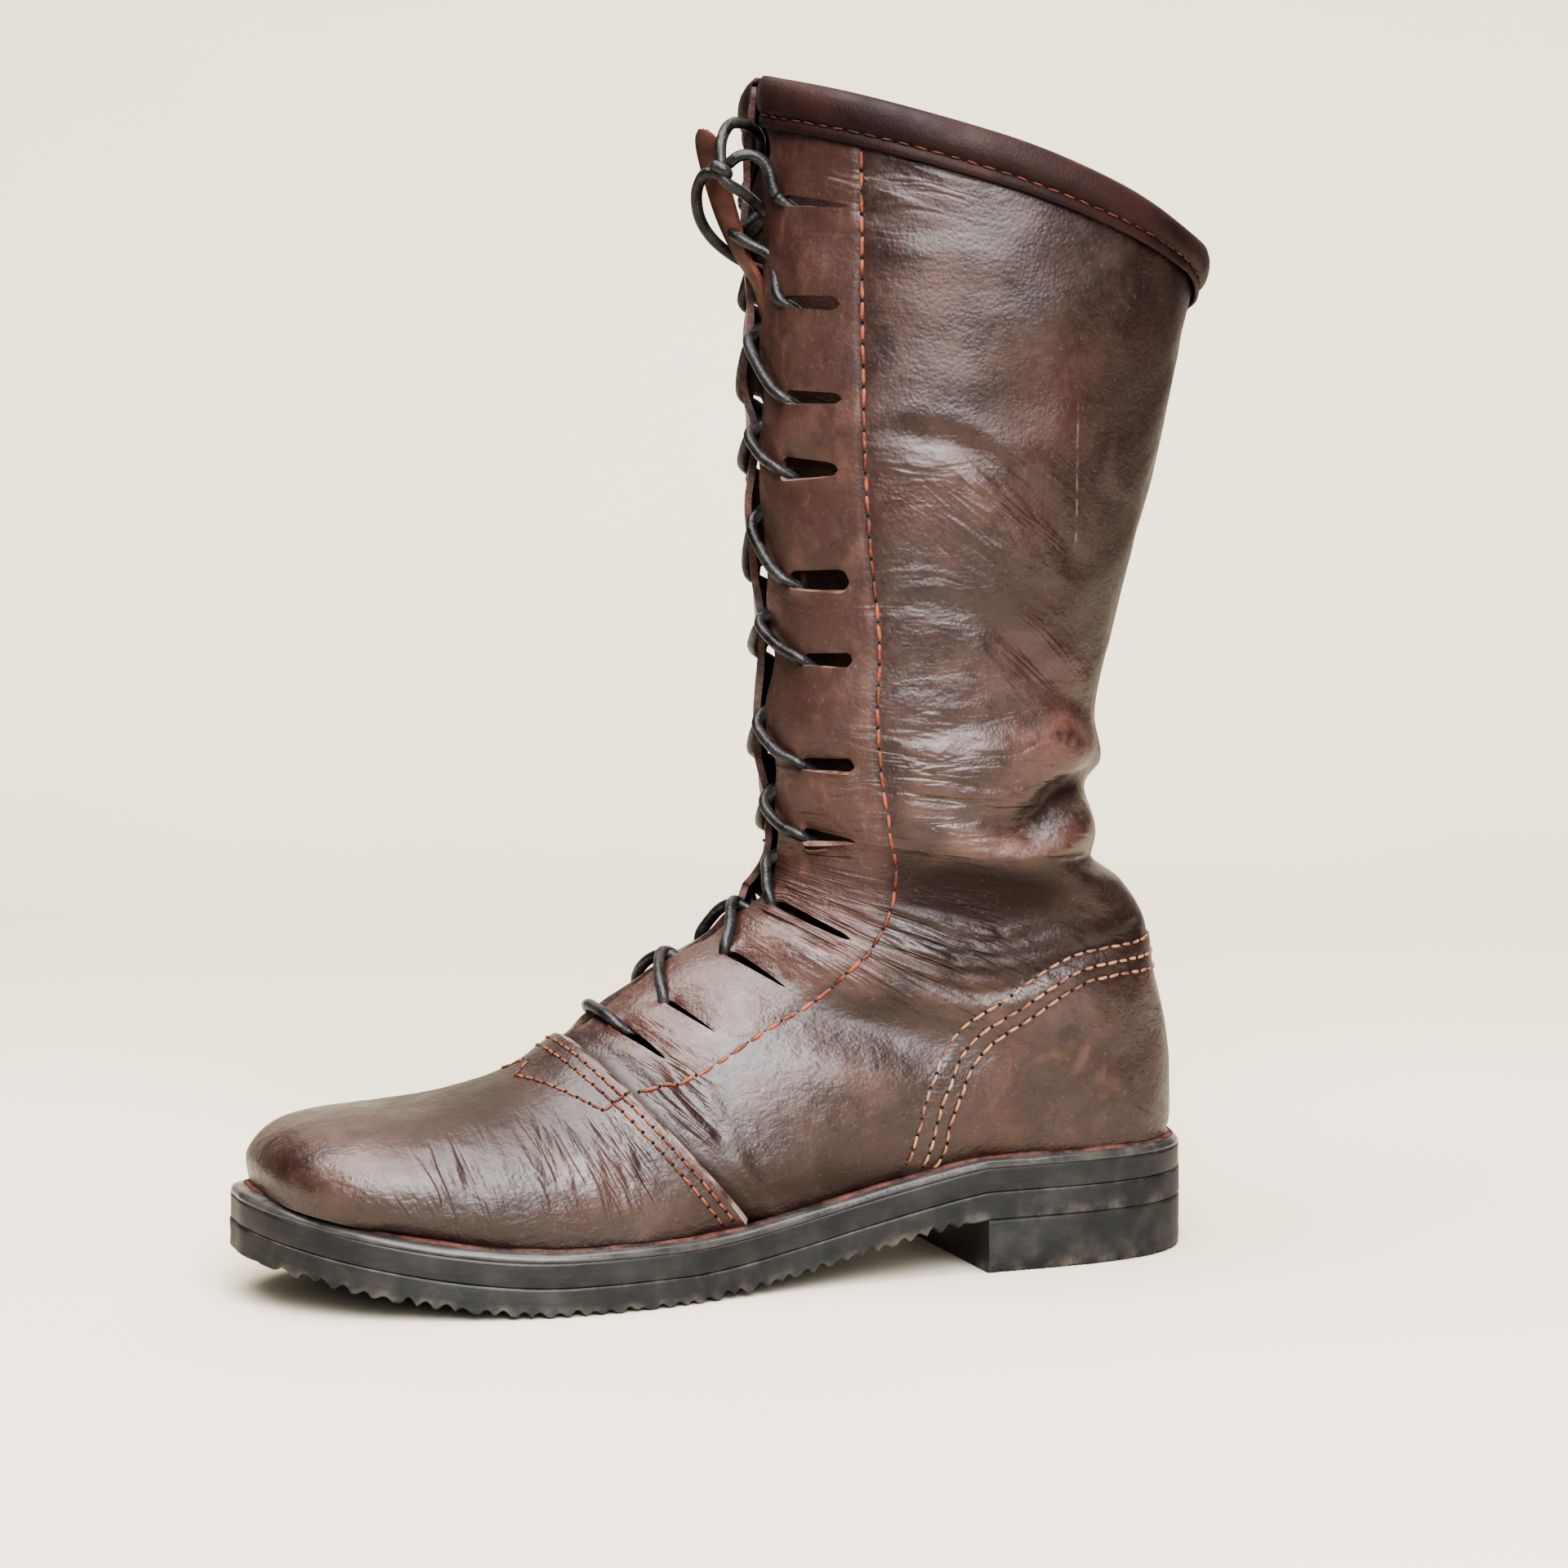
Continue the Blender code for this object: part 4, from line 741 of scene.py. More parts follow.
def thread_material(name, dark, light):
    k = Shade(name)
    pos = k.where()
    c = k.mix(k.span(k.math('ADD', k.math('MULTIPLY', k.noise(pos, 140, 2), 0.75), k.math('MULTIPLY', k.noise(pos, 1400, 2), 0.25)), 0.36, 0.62), dark, light)
    return k.done(c, k.span(k.noise(pos, 500, 2), 0.3, 0.7, 0.55, 0.75), k.bump(k.noise(pos, 2600, 2), 0.5, 0.0002))

LEATHER = leather_material()
SUEDE = plain_leather("flesh_side", srgb(46, 30, 24), srgb(72, 50, 41), 60, 0.85, 0.9)
DARK_EDGE = plain_leather("rubbed_edge", srgb(44, 26, 20), srgb(78, 50, 41), 160, 0.6, 0.6)
RAW_EDGE = plain_leather("cut_edge", srgb(72, 48, 40), srgb(122, 94, 83), 160, 0.7, 0.8)
VAMP_CUT = plain_leather("vamp_cut_edge", srgb(62, 46, 41), srgb(140, 120, 113), 120, 0.55, 0.6)
BINDING = plain_leather("binding_leather", srgb(34, 18, 17), srgb(50, 28, 26), 40, 0.58, 0.35, 0.0, 0.28)
TONGUE = plain_leather("tongue_leather", srgb(58, 34, 28), srgb(98, 62, 52), 60, 0.55, 0.4)
TONGUE_EDGE = plain_leather("tongue_cut_edge", srgb(62, 35, 28), srgb(112, 66, 54), 120, 0.75, 0.8)
LACE = plain_leather("black_lace", srgb(20, 18, 18), srgb(52, 49, 49), 130, 0.38, 0.55, 0.1)
INSOLE = plain_leather("insole_leather", srgb(120, 92, 66), srgb(158, 124, 92), 40, 0.8, 0.5)
RED_THREAD = thread_material("red_thread", srgb(78, 36, 26), srgb(136, 76, 57))
BIND_THREAD = thread_material("collar_thread", srgb(52, 24, 16), srgb(96, 47, 30))
# near-black needle holes: painted shade standing for the holes
HOLE_SHADE = plain_leather("needle_hole_shade", srgb(18, 11, 9), srgb(26, 16, 13), 60, 0.9, 0.2)
TAN_THREAD = thread_material("tan_thread", srgb(98, 64, 48), srgb(156, 116, 90))
RUBBER = rubber_material("black_rubber", srgb(24, 24, 25), srgb(36, 36, 36), 0.50)
MIDRUBBER = rubber_material("black_midsole", srgb(26, 26, 27), srgb(41, 41, 41), 0.42)
# the welt's dark grey edge, made lighter than the rest of the sole as painted sheen for the bright highlight along its
# top
WELT_EDGE = rubber_material("welt_edge_painted_sheen", srgb(46, 44, 43), srgb(76, 73, 71), 0.24, 60)
RAND = plain_leather("red_rand", srgb(32, 22, 20), srgb(98, 58, 51), 110, 0.7, 0.8)

def finish_piece(ob, slot, *nodes):
    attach(ob, "root")
    if nodes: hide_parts(*nodes)
    return ob

# ------------------------------------------------------------------ upper
# section numbers between which rows lie closer, and the step there in mm
ROW_STEPS = [(0.0, 2.4), (4.2, 2.4), (4.8, 1.6), (9.2, 1.6), (9.8, 2.6), (14.4, 2.6), (15.2, 1.6), (23.6, 1.6), (24.4, 3.0), (30.0, 3.0)]
_f = surf(VS, LAT, np.zeros(len(VS)))
_b = surf(VS, LAT, LENGTHS[0]*0.9999)
_way = np.r_[0, np.cumsum(np.maximum(np.linalg.norm(np.diff(_f, axis=0), axis=1), np.linalg.norm(np.diff(_b, axis=0), axis=1)))]
_count = np.r_[0, np.cumsum(np.diff(_way)/np.interp((VS[1:] + VS[:-1])/2, [r[0] for r in ROW_STEPS], [r[1] for r in ROW_STEPS]))]
def row_way(v): return np.interp(v, VS, _way)
def row_count(v): return np.interp(v, VS, _count)
FIXED_ROWS = [0.0, VAMP_EDGE, THROAT, TOP_V] + [r[0] for r in SLITS]
_free = np.interp(np.arange(0, row_count(TOP_V), 1.0), _count, VS)
ROWS = np.array(sorted([float(v) for v in _free if min(abs(row_count(v) - row_count(q)) for q in FIXED_ROWS) > 0.4 and not VAMP_EDGE < v < VAMP_EDGE + 0.17] + FIXED_ROWS))
N_EDGE, N_SLIT, N_SEAM, N_BACK = 6, 18, 5, 46
N_COL = N_EDGE + N_SLIT + N_SEAM + N_BACK + 1
SLIT_FIRST, SLIT_LAST = N_EDGE, N_EDGE + N_SLIT

def column_ways(v, side):
    L = float(half_length(np.array(v), np.array(side)))
    e = float(front_edge(np.array(v), np.array(side))) if v > THROAT else 0.0
    f, b = float(carried(np.array(v), 1)), float(carried(np.array(v), 2))
    seam = max(b + 4.0, FACING_SEAM + 1.5)
    laced = np.concatenate([np.linspace(e, f, N_EDGE, endpoint=False), np.linspace(f, b, N_SLIT, endpoint=False),
                            np.linspace(b, seam, N_SEAM, endpoint=False), np.linspace(seam, L, N_BACK + 1)])
    even = np.linspace(e, L, N_COL)
    return even + (laced - even)*float(smooth(np.array((v - 6.2)/2.6)))

def build_upper():
    V, S, K, LIP = [], [], [], []
    low, high, joined = {}, {}, []
    slit_rows = {round(r[0], 6) for r in SLITS}
    for r, v in enumerate(ROWS):
        for side in (LAT, MED):
            s = column_ways(v, side)
            ids = np.arange(len(V), len(V) + N_COL)
            V += [v]*N_COL; S += list(s); K += [side]*N_COL; LIP += [False]*N_COL
            if side > 0:
                if v <= THROAT: ids[0] = low[r, LAT][0]
                if v >= SEAT_BACK: ids[-1] = low[r, LAT][-1]
                elif r + 1 < len(ROWS) and ROWS[r + 1] >= SEAT_BACK:
                    joined.append((low[r, LAT][-1], ids[-1]))
                    ids[-1] = low[r, LAT][-1]
            low[r, side] = ids
            top = ids.copy()
            if round(v, 6) in slit_rows:
                inner = np.arange(SLIT_FIRST + 1, SLIT_LAST)
                top[inner] = np.arange(len(V), len(V) + len(inner))
                V += [v]*len(inner); S += list(s[inner]); K += [side]*len(inner); LIP += [True]*len(inner)
            elif v == VAMP_EDGE:
                top = np.arange(len(V), len(V) + N_COL)
                V += list(v + 1.7/per_section(np.full(N_COL, side), s)); S += list(s); K += [side]*N_COL; LIP += [False]*N_COL
                if side > 0: top[0] = high[r, LAT][0]
            high[r, side] = top
    V, S, K, LIP = np.array(V), np.array(S), np.array(K), np.array(LIP)
    quads, index = [], []
    def strip(a, b, side, mat):
        q = np.c_[a[:-1], a[1:], b[1:], b[:-1]]
        quads.append(q if side < 0 else q[:, ::-1])
        index.append(np.full(len(q), mat))
    sharp = []
    for r in range(len(ROWS)):
        for side in (LAT, MED):
            if ROWS[r] == VAMP_EDGE:
                strip(low[r, side], high[r, side], side, 3)
                for a in (low[r, side], high[r, side]): sharp.append(np.c_[a[:-1], a[1:]])
            if r + 1 < len(ROWS): strip(high[r, side], low[r+1, side], side, 0)
    quads, index = np.vstack(quads), np.concatenate(index)
    keep = np.array([len(set(q)) == 4 for q in quads.tolist()])
    tri_ok = ~keep
    P, N, T = frame_at(V, K, np.minimum(S, half_length(V, K)*0.99995))
    P = surf(V, K, S)
    quads, index = quads[keep], index[keep]
    D = relief(P, K, V, S)
    Q = P + N*D[:, None] + slit_shift(P, T, N, K, V, S, LIP)
    for a, b in joined: Q[a] = (Q[a] + Q[b])/2
    c = S/half_length(V, K)
    soft = np.flatnonzero((np.abs(V - SEAT_BACK) < 1.5) & (c > 0.80) & ((V > SEAT_BACK) | (c < 0.995)))
    pull = np.zeros(len(V))
    pull[soft] = smooth((1.5 - np.abs(V[soft] - SEAT_BACK))/0.6)*smooth((c[soft] - 0.80)/0.08)
    for _ in range(14):
        total, count = np.zeros_like(Q), np.zeros(len(V))
        for k in range(4):
            a, b = quads[:, k], quads[:, (k + 1) % 4]
            np.add.at(total, a, Q[b]); np.add.at(count, a, 1)
            np.add.at(total, b, Q[a]); np.add.at(count, b, 1)
        mean = total/np.maximum(count, 1)[:, None]
        Q = Q + (mean - Q)*(0.5*pull)[:, None]
    used = np.unique(quads)
    new = np.full(len(V), -1); new[used] = np.arange(len(used))
    quads = new[quads]
    sharp = [new[a] for a in sharp]
    P, N, Q, V, S, K, D = P[used], N[used], Q[used], V[used], S[used], K[used], D[used]
    # which way the leather faces out
    nn = vertex_normals(Q, quads)
    if np.median((nn*N).sum(1)) < 0: quads = quads[:, ::-1]
    return P, N, Q, V, S, K, D, quads, index, np.vstack(sharp)

# soft patches of fine folds, of wear with painted highlight on the fold ridges (pale), and of painted shade (deep): x,
# z, reach along x, reach along z, amount
FOLDS_LEVEL = [(62, 154, 34, 18, 0.8), (70, 138, 26, 10, 0.8), (62, 100, 34, 12, 1.0), (36, 105, 16, 9, 0.9), (36, 325, 22, 14, 0.35), (20, 116, 16, 12, 0.5),
               (48, 205, 24, 10, 0.45), (45, 243, 22, 9, 0.4), (92, 104, 28, 7, 0.9), (70, 172, 40, 14, 0.3)]
FOLDS_LEANING = [(70, 232, 18, 13, 1.0), (82, 186, 17, 13, 0.6)]
FOLDS_ACROSS = [(-93, 40, 10, 12, 1.0), (-65, 47, 9, 10, 0.85), (-47, 42, 10, 13, 1.0), (-25, 58, 9, 16, 0.8), (-80, 33, 60, 4, 0.4)]
PALE_WEAR_AND_HIGHLIGHT = [(92, 164, 15, 10, 0.55), (100, 112, 9, 6, 0.4), (70, 131, 26, 4.5, 0.6), (48, 92, 22, 6, 0.3), (-125, 44, 18, 12, 0.35), (-48, 38, 10, 9, 0.3),
        (40, 165, 30, 25, 0.15), (52, 290, 30, 40, 0.18), (52, 236, 22, 10, 0.25), (100, 70, 16, 12, 0.2), (19, 252, 9, 12, 0.35), (62, 180, 18, 9, 0.3)]
PAINTED_SHADE = [(70, 117, 32, 9, 0.95), (102, 146, 9, 4, 0.55), (44, 120, 12, 10, 0.5), (118, 104, 16, 4, 0.8), (56, 210, 7, 4, 0.4), (40, 83, 20, 5, 0.35), (-72, 61, 16, 8, 0.25),
        (125, 205, 18, 60, 0.55), (138, 290, 18, 55, 0.55), (22, 240, 10, 90, 0.2), (66, 94, 32, 8, 0.7), (114, 60, 34, 24, 0.30), (14, 32, 42, 8, 0.6), (-88, 60, 36, 11, 0.6), (23, 168, 12, 12, 0.25)]

def patches(P, table, seed):
    out = np.zeros(len(P))
    for x, z, rx, rz, amount in table:
        d = ((P[:, 0] - x)/rx)**2 + ((P[:, 2] - z)/rz)**2
        out = np.maximum(out, amount*np.exp(-d*(1 + 0.25*wander(P, 18, seed))))
    return out

P, N, Q, V, S, K, D, quads, outer_index, cut_edges = build_upper()
way = row_way(V)
seam = np.exp(-((S - FACING_SEAM)/0.8)**2)*smooth((V - 8.8)/0.3)
rows_in = {}
for sd in (LAT, MED):
    for name, line in (("counter", COUNTER_OUT), ("counter in", COUNTER_IN)):
        d, _ = line_distance(P, crease_line(name, sd, line))
        seam = np.maximum(seam, 0.7*np.exp(-(d/0.8)**2))
crease_shade = np.clip(-D - 0.5, 0, 2)*0.16
attrs = {
    "arc": np.c_[S*MM*K, way*MM, 0*S],
    "fold_h": patches(P, FOLDS_LEVEL, 4), "fold_d": patches(P, FOLDS_LEANING, 5), "fold_v": patches(P, FOLDS_ACROSS, 6),
    # pale: the worn lip of the vamp's edge, the listed patches and the tops of raised folds; on the fold ridges it is
    # painted highlight as well as wear
    "pale": np.clip(0.75*np.exp(-(np.minimum(edge_way(V, K, S), 0)/1.2)**2)*(V <= VAMP_EDGE)*smooth((S - 12)/20) + patches(P, PALE_WEAR_AND_HIGHLIGHT, 7) + np.clip(D - 0.7, 0, 1)*0.3, 0, 1),
    # deep: painted shade along the line just behind the vamp's edge, in the listed shade patches and in the creases
    "deep": np.clip(0.7*np.exp(-(np.maximum(edge_way(V, K, S) - 1.7, 0)/2.0)**2)*(V > VAMP_EDGE) + patches(P, PAINTED_SHADE, 8) + crease_shade, 0, 1),
    "seam": seam, "tab": (1 - smooth((S - 43.0)/3.0))*smooth((V - 8.8)/0.3),
    "dull": (1 - smooth((S - 43.0)/3.0))*smooth((V - 13.5)/3.0),
    "cloudy": np.clip(0.8*(1 - smooth((S - 43.0)/3.0))*smooth((V - 11.0)/2.0) + patches(P, [(102, 60, 36, 28, 0.9)], 9), 0, 1),
    "grime": np.clip(1.0 - (P[:, 2] - np.array([feather_z(x) for x in P[:, 0]]))/14.0, 0, 1)**1.5,
}
both, faces, index, sharp, attrs2, _ = walled(Q, quads, LEATHER_T, attrs, outer_index)
at_slit = np.isin(np.round(V, 6), [round(r[0], 6) for r in SLITS]) & (S > front_edge(V, K) + 1.0)
lip = np.concatenate([at_slit, at_slit])
index = np.array([4 if m == 2 and not lip[list(f)].all() else m for f, m in zip(faces.tolist(), index.tolist())])
upper = mesh_object("upper_leather", both, faces, [LEATHER, SUEDE, RAW_EDGE, VAMP_CUT, DARK_EDGE], index, np.vstack([sharp, cut_edges]), attrs2)
finish_piece(upper, "upper_leather", "upper")

def on_leather(v, side, s, h=0.0):
    """points on the worn leather"""
    v, side, s = (np.asarray(a, float) for a in np.broadcast_arrays(v, side, s))
    p, n, t = frame_at(v, side, s)
    return p + n*(relief(p, side, v, s) + h)[:, None], n

# ------------------------------------------------------------------ stitches
class Stitches:
    def __init__(self): self.P, self.F, self.M = [], [], []
    def add(self, line, normals, pitch, length, radius, bow=0.35, sink=0.1, start=0.4, hole=0.62):
        d = np.r_[0, np.cumsum(np.linalg.norm(np.diff(line, axis=0), axis=1))]
        x = np.linspace(-0.5, 0.5, 7)
        a = np.arange(6)*math.pi/3
        at = start*pitch
        k = 0
        while at + length/2 < d[-1]:
            r = 1.0 + 0.14*math.sin(k*2.7 + at)
            c = np.array([np.interp(at + x*length*r, d, line[:, j]) for j in range(3)]).T
            n = unit(np.array([np.interp(at + x*length*r, d, normals[:, j]) for j in range(3)]).T)
            t = unit(np.gradient(c, axis=0))
            w = np.cross(t, n)
            c = c + n*((bow*(1 - (2*x)**2) - sink)[:, None]) + w*(0.18*math.sin(k*1.9))*x[:, None]*2
            rad = radius*np.sqrt(np.clip(1.04 - (2*x)**4, 0.02, 1))
            base = sum(len(q) for q in self.P)
            ring = c[:, None] + rad[:, None, None]*(np.cos(a)[None, :, None]*w[:, None]*1.15 + np.sin(a)[None, :, None]*n[:, None])
            self.P.append(ring.reshape(-1, 3))
            for i in range(6):
                for q in range(6):
                    self.F.append((base + i*6 + q, base + i*6 + (q+1) % 6, base + (i+1)*6 + (q+1) % 6, base + (i+1)*6 + q))
            self.F.append(tuple(base + q for q in range(6))[::-1])
            self.F.append(tuple(base + 36 + q for q in range(6)))
            self.M += [0]*38
            # needle hole after the stitch: a small near-black fan whose darkness is painted shade
            q = at + pitch/2
            c = np.array([np.interp(q, d, line[:, j]) for j in range(3)])
            n = unit(np.array([np.interp(q, d, normals[:, j]) for j in range(3)]))
            t = unit(np.array([np.interp(q + 0.5, d, line[:, j]) - np.interp(q - 0.5, d, line[:, j]) for j in range(3)]))
            w = np.cross(t, n)
            base = sum(len(q) for q in self.P)
            ring = c + 0.10*n + hole*(np.cos(a)[:, None]*t*0.9 + np.sin(a)[:, None]*w)
            self.P.append(np.vstack([ring, c + 0.22*n, c - 0.3*n]))
            for q in range(6):
                self.F += [(base + q, base + (q+1) % 6, base + 6), (base + (q+1) % 6, base + q, base + 7)]
            self.M += [1]*12
            at += pitch
            k += 1
    def make(self, name, mat):
        return mesh_object(name, np.vstack(self.P), self.F, [mat, HOLE_SHADE], self.M)

def along(pts, n=None):
    """(section, distance round) pairs carried along densely"""
    p = np.asarray(pts, float)
    t = np.linspace(0, len(p) - 1, n or len(p)*16)
    return np.interp(t, range(len(p)), p[:, 0]), np.interp(t, range(len(p)), p[:, 1])

def locate(side, xyz):
    """section number and distance round of points near the leather"""
    k = 0 if side < 0 else 1
    g = BASE[k].reshape(-1, 3)
    out = []
    for q in xyz:
        j = int(np.argmin(((g - q)**2).sum(1)))
        i, c = divmod(j, ROUND)
        out.append((VS[i], CS[c]*LENGTHS[k, i]))
    return np.array(out)

def settle(line, n=3):
    for _ in range(n):
        line[1:-1] = (line[:-2] + 2*line[1:-1] + line[2:])/4
    return line

red, tan = Stitches(), Stitches()
BOX = [(8.50, 38.9), (8.42, 38.3), (7.86, 40.3), (7.07, 7.3), (7.60, 0.4)]
for sd in (LAT, MED):
    v, s = along([(TOP_V - 0.24, 45), (24, 45), (18, 45), (13, 45), (11, 45), (9.6, 45), (9.3, 44.8), (9.0, 43.4), (8.75, 40.9), (8.54, 39.0), (8.43, 38.4)], 900)
    p, n = on_leather(v, sd, s)
    red.add(settle(p, 6), n, 6.3, 5.7, 0.60, 0.32, 0.12)
    v, s = along(BOX[1:4], 200)
    p, n = on_leather(v, sd, s)
    red.add(p, n, 4.4, 3.7, 0.42, 0.28, 0.08)
    v, s = along(BOX[3:5], 40)
    p, n = on_leather(v, sd, s)
    red.add(p, n, 4.4, 3.7, 0.42, 0.28, 0.08)
    for back in (2.3, 5.7):
        L = float(half_length(np.array(8.4), np.array(sd)))
        s = np.linspace(1.5, L - 2.0, 200)
        p, n = on_leather(VAMP_EDGE - back/per_section(np.full(200, sd), s), sd, s)
        red.add(p, n, 4.3, 3.6, 0.42, 0.28, 0.08)
    out, inn = densify(COUNTER_OUT, 1.5), densify(COUNTER_IN, 1.5)
    for f in (0.06, 0.55, 1.0):
        i = np.linspace(0, 1, 220)
        a = np.c_[tuple(np.interp(i, np.linspace(0, 1, len(out)), out[:, q]) for q in (0, 1))]
        b = np.c_[tuple(np.interp(i, np.linspace(0, 1, len(inn)), inn[:, q]) for q in (0, 1))]
        xyz = settle(on_side(sd, a + (b - a)*f).astype(float), 8)
        loc = locate(sd, xyz)
        p, n = on_leather(loc[:, 0], sd, loc[:, 1])
        p, n = settle(p.copy(), 10), unit(settle(n.copy(), 10))
        tan.add(p[2:-2], n[2:-2], 4.9, 4.0, 0.46, 0.3, 0.0)
finish_piece(tan.make("counter_stitches", TAN_THREAD), "upper_leather")

# ------------------------------------------------------------------ collar binding
# section of the folded strip: distance out from the leather, height above its top edge
ROLL = [(1.15, -12.2), (1.75, -12.7), (2.25, -12.2), (2.3, -10.8), (2.1, -9.6), (1.75, -9.0), (1.9, -8.5), (2.7, -8.0), (3.35, -6.6), (3.55, -4.6), (3.4, -2.4), (2.9, -0.4),
        (1.8, 1.5), (0.2, 2.5), (-1.6, 2.5), (-3.3, 1.7), (-4.6, 0.0), (-5.2, -2.5), (-5.35, -6.0), (-5.3, -9.2), (-4.5, -9.6), (-3.9, -9.0), (-3.75, -4.0), (-3.6, 0.4), (1.1, 0.5), (1.15, -6.0)]
def build_binding():
    path = []
    for side in (LAT, MED):
        L = float(half_length(np.array(TOP_V), np.array(side)))
        e = float(front_edge(np.array(TOP_V), np.array(side)))
        s = np.linspace(e - 0.2, L, 150)
        path += [(side, q) for q in s] if side < 0 else [(side, q) for q in s[::-1][1:]]
    sd, s = np.array([p[0] for p in path]), np.array([p[1] for p in path])
    L = half_length(np.full(len(s), TOP_V), sd)
    p, n, t = frame_at(np.full(len(s), TOP_V - 0.06), sd, np.minimum(s, L - 0.02))
    p = surf(np.full(len(s), TOP_V), sd, np.minimum(s, L - 0.02))
    near = np.flatnonzero(L - s > 4.0)
    p = np.c_[tuple(np.interp(np.arange(len(s)), near, p[near, k]) for k in range(3))]
    good = np.flatnonzero(L - s > 7.0)
    n, t = (np.c_[tuple(np.interp(np.arange(len(s)), good, a[good, k]) for k in range(3))] for a in (n, t))
    n, t = unit(settle(unit(n), 6)), unit(settle(unit(t), 6))
    # round the back the strip lies square to the edge that it binds
    d = unit(np.gradient(settle(p.copy(), 4), axis=0))
    square = unit(t - (t*d).sum(1)[:, None]*d)
    t = unit(t + (square - t)*(1 - smooth((L - s - 20.0)/40.0))[:, None])
    arc = np.r_[0, np.cumsum(np.linalg.norm(np.diff(p, axis=0), axis=1))]
    swell = 1.0 + 0.035*np.sin(arc/9.0) + 0.03*np.sin(arc/4.3 + 1)
    V, F = [], []
    m = len(ROLL)
    for i in range(len(s)):
        tuck = 1.0 - 0.35*math.exp(-min(i, len(s) - 1 - i)/3.0)
        for o, h in ROLL:
            o2 = o*swell[i] if o > 1.2 else o
            V.append(p[i] + n[i]*(o2*(tuck if o > 1.2 else 1.0)) + t[i]*(h + 0.25*math.sin(arc[i]/13.0)))
    for i in range(len(s) - 1):
        for k in range(m):
            F.append((i*m + k, (i+1)*m + k, (i+1)*m + (k+1) % m, i*m + (k+1) % m))
    F.append(tuple(range(m)))
    F.append(tuple(range((len(s) - 1)*m, len(s)*m))[::-1])
    V = np.array(V)
    line = np.array([p[i] + n[i]*1.95*swell[i] + t[i]*(-8.75) for i in range(len(s))])
    return V, F, line, n
BV, BF, bline, bnorm = build_binding()
binding = mesh_object("collar_binding_roll", BV, BF, [BINDING])
finish_piece(binding, "binding_leather", "collar_binding")
bind = Stitches()
bind.add(bline[2:-2], bnorm[2:-2], 5.2, 3.9, 0.34, 0.2, 0.0, hole=0.4)
finish_piece(bind.make("collar_stitches", BIND_THREAD), "binding_leather")
finish_piece(red.make("seam_stitches", RED_THREAD), "upper_leather")

# ------------------------------------------------------------------ tongue
# free end of the tongue where it leans out between the facings: x, z, half width
TONGUE_END = [(11.5, 296.0, 4.4), (8.0, 301.0, 4.2), (4.4, 306.5, 4.0), (0.8, 315.0, 4.0), (-2.6, 325.0, 4.2), (-5.4, 335.0, 4.4), (-6.7, 340.5, 4.2), (-7.4, 343.0, 3.2), (-7.7, 344.2, 1.6)]
def build_tongue():
    rows = []
    across = np.linspace(-1, 1, 15)
    for v in np.linspace(8.2, 27.6, 150):
        w = 14.0 - (14.0 - 4.6)*float(smooth(np.array((v - 25.4)/2.0)))
        a = across*w
        h = -TONGUE_IN + 0.35*np.sin(v*2.1 + across*1.3)
        rows.append(lift(np.full(15, v), np.where(a <= 0, LAT, MED), np.maximum(np.abs(a), 0.01), h))
    end = densify(TONGUE_END, 1.6)
    for x, z, w in end:
        curl = 0.9*(across**2)
        turn = 0.62*float(smooth(np.array((z - 300.0)/22.0)))
        rows.append(np.c_[x + curl - across*w*math.sin(turn), across*w*math.cos(turn) - 1.5*turn, np.full(15, z) + 0.15*np.sin(across*3)])
    G = np.array(rows)
    for _ in range(3): G[1:-1] = (G[:-2] + 2*G[1:-1] + G[2:])/4
    n, m = G.shape[:2]
    P = G.reshape(-1, 3)
    q = np.array([(i*m + k, i*m + k + 1, (i+1)*m + k + 1, (i+1)*m + k) for i in range(n - 1) for k in range(m - 1)])
    N = vertex_normals(P, q)
    if N[len(N)//2, 0] > 0: q = q[:, ::-1]
    return P, q
TP, TQ = build_tongue()
both, faces, index, sharp, _, _ = walled(TP, TQ, TONGUE_T, {})
tongue = mesh_object("tongue_strip", both, faces, [TONGUE, SUEDE, TONGUE_EDGE], index, sharp)
finish_piece(tongue, "tongue_leather", "tongue")

# ------------------------------------------------------------------ sole
LAST = len(SOLE_EDGE) - 1.0
def edge_at(p, col):
    """sole edge at a running row number of the table"""
    pts = [(r[0], r[col]) for r in SOLE_EDGE]
    oth = 3 - col
    pts = [(SOLE_EDGE[1][0], SOLE_EDGE[1][oth])] + pts + [(SOLE_EDGE[-2][0], SOLE_EDGE[-2][oth])]
    i = min(int(p), len(SOLE_EDGE) - 2)
    t = p - i
    p0, p1, p2, p3 = pts[i:i+4]
    return tuple(0.5*(2*p1[j] + (p2[j]-p0[j])*t + (2*p0[j]-5*p1[j]+4*p2[j]-p3[j])*t*t + (3*p1[j]-p0[j]-3*p2[j]+p3[j])*t**3) for j in (0, 1))

def inset_at(p, col, d):
    sgn = 1.0 if col == 1 else -1.0
    x, y = edge_at(p, col)
    if p <= 0.0: tx, ty = 0.0, -sgn
    elif p >= LAST: tx, ty = 0.0, sgn
    else:
        a, b = edge_at(max(p - 0.05, 0.0), col), edge_at(min(p + 0.05, LAST), col)
        tx, ty = b[0] - a[0], b[1] - a[1]
    l = math.hypot(tx, ty)
    return x - sgn*ty/l*d, y + sgn*tx/l*d

def row_at_x(x):
    lo, hi = 0.0, LAST
    for _ in range(40):
        m = (lo + hi)/2
        if edge_at(m, 1)[0] < x: lo = m
        else: hi = m
    return (lo + hi)/2

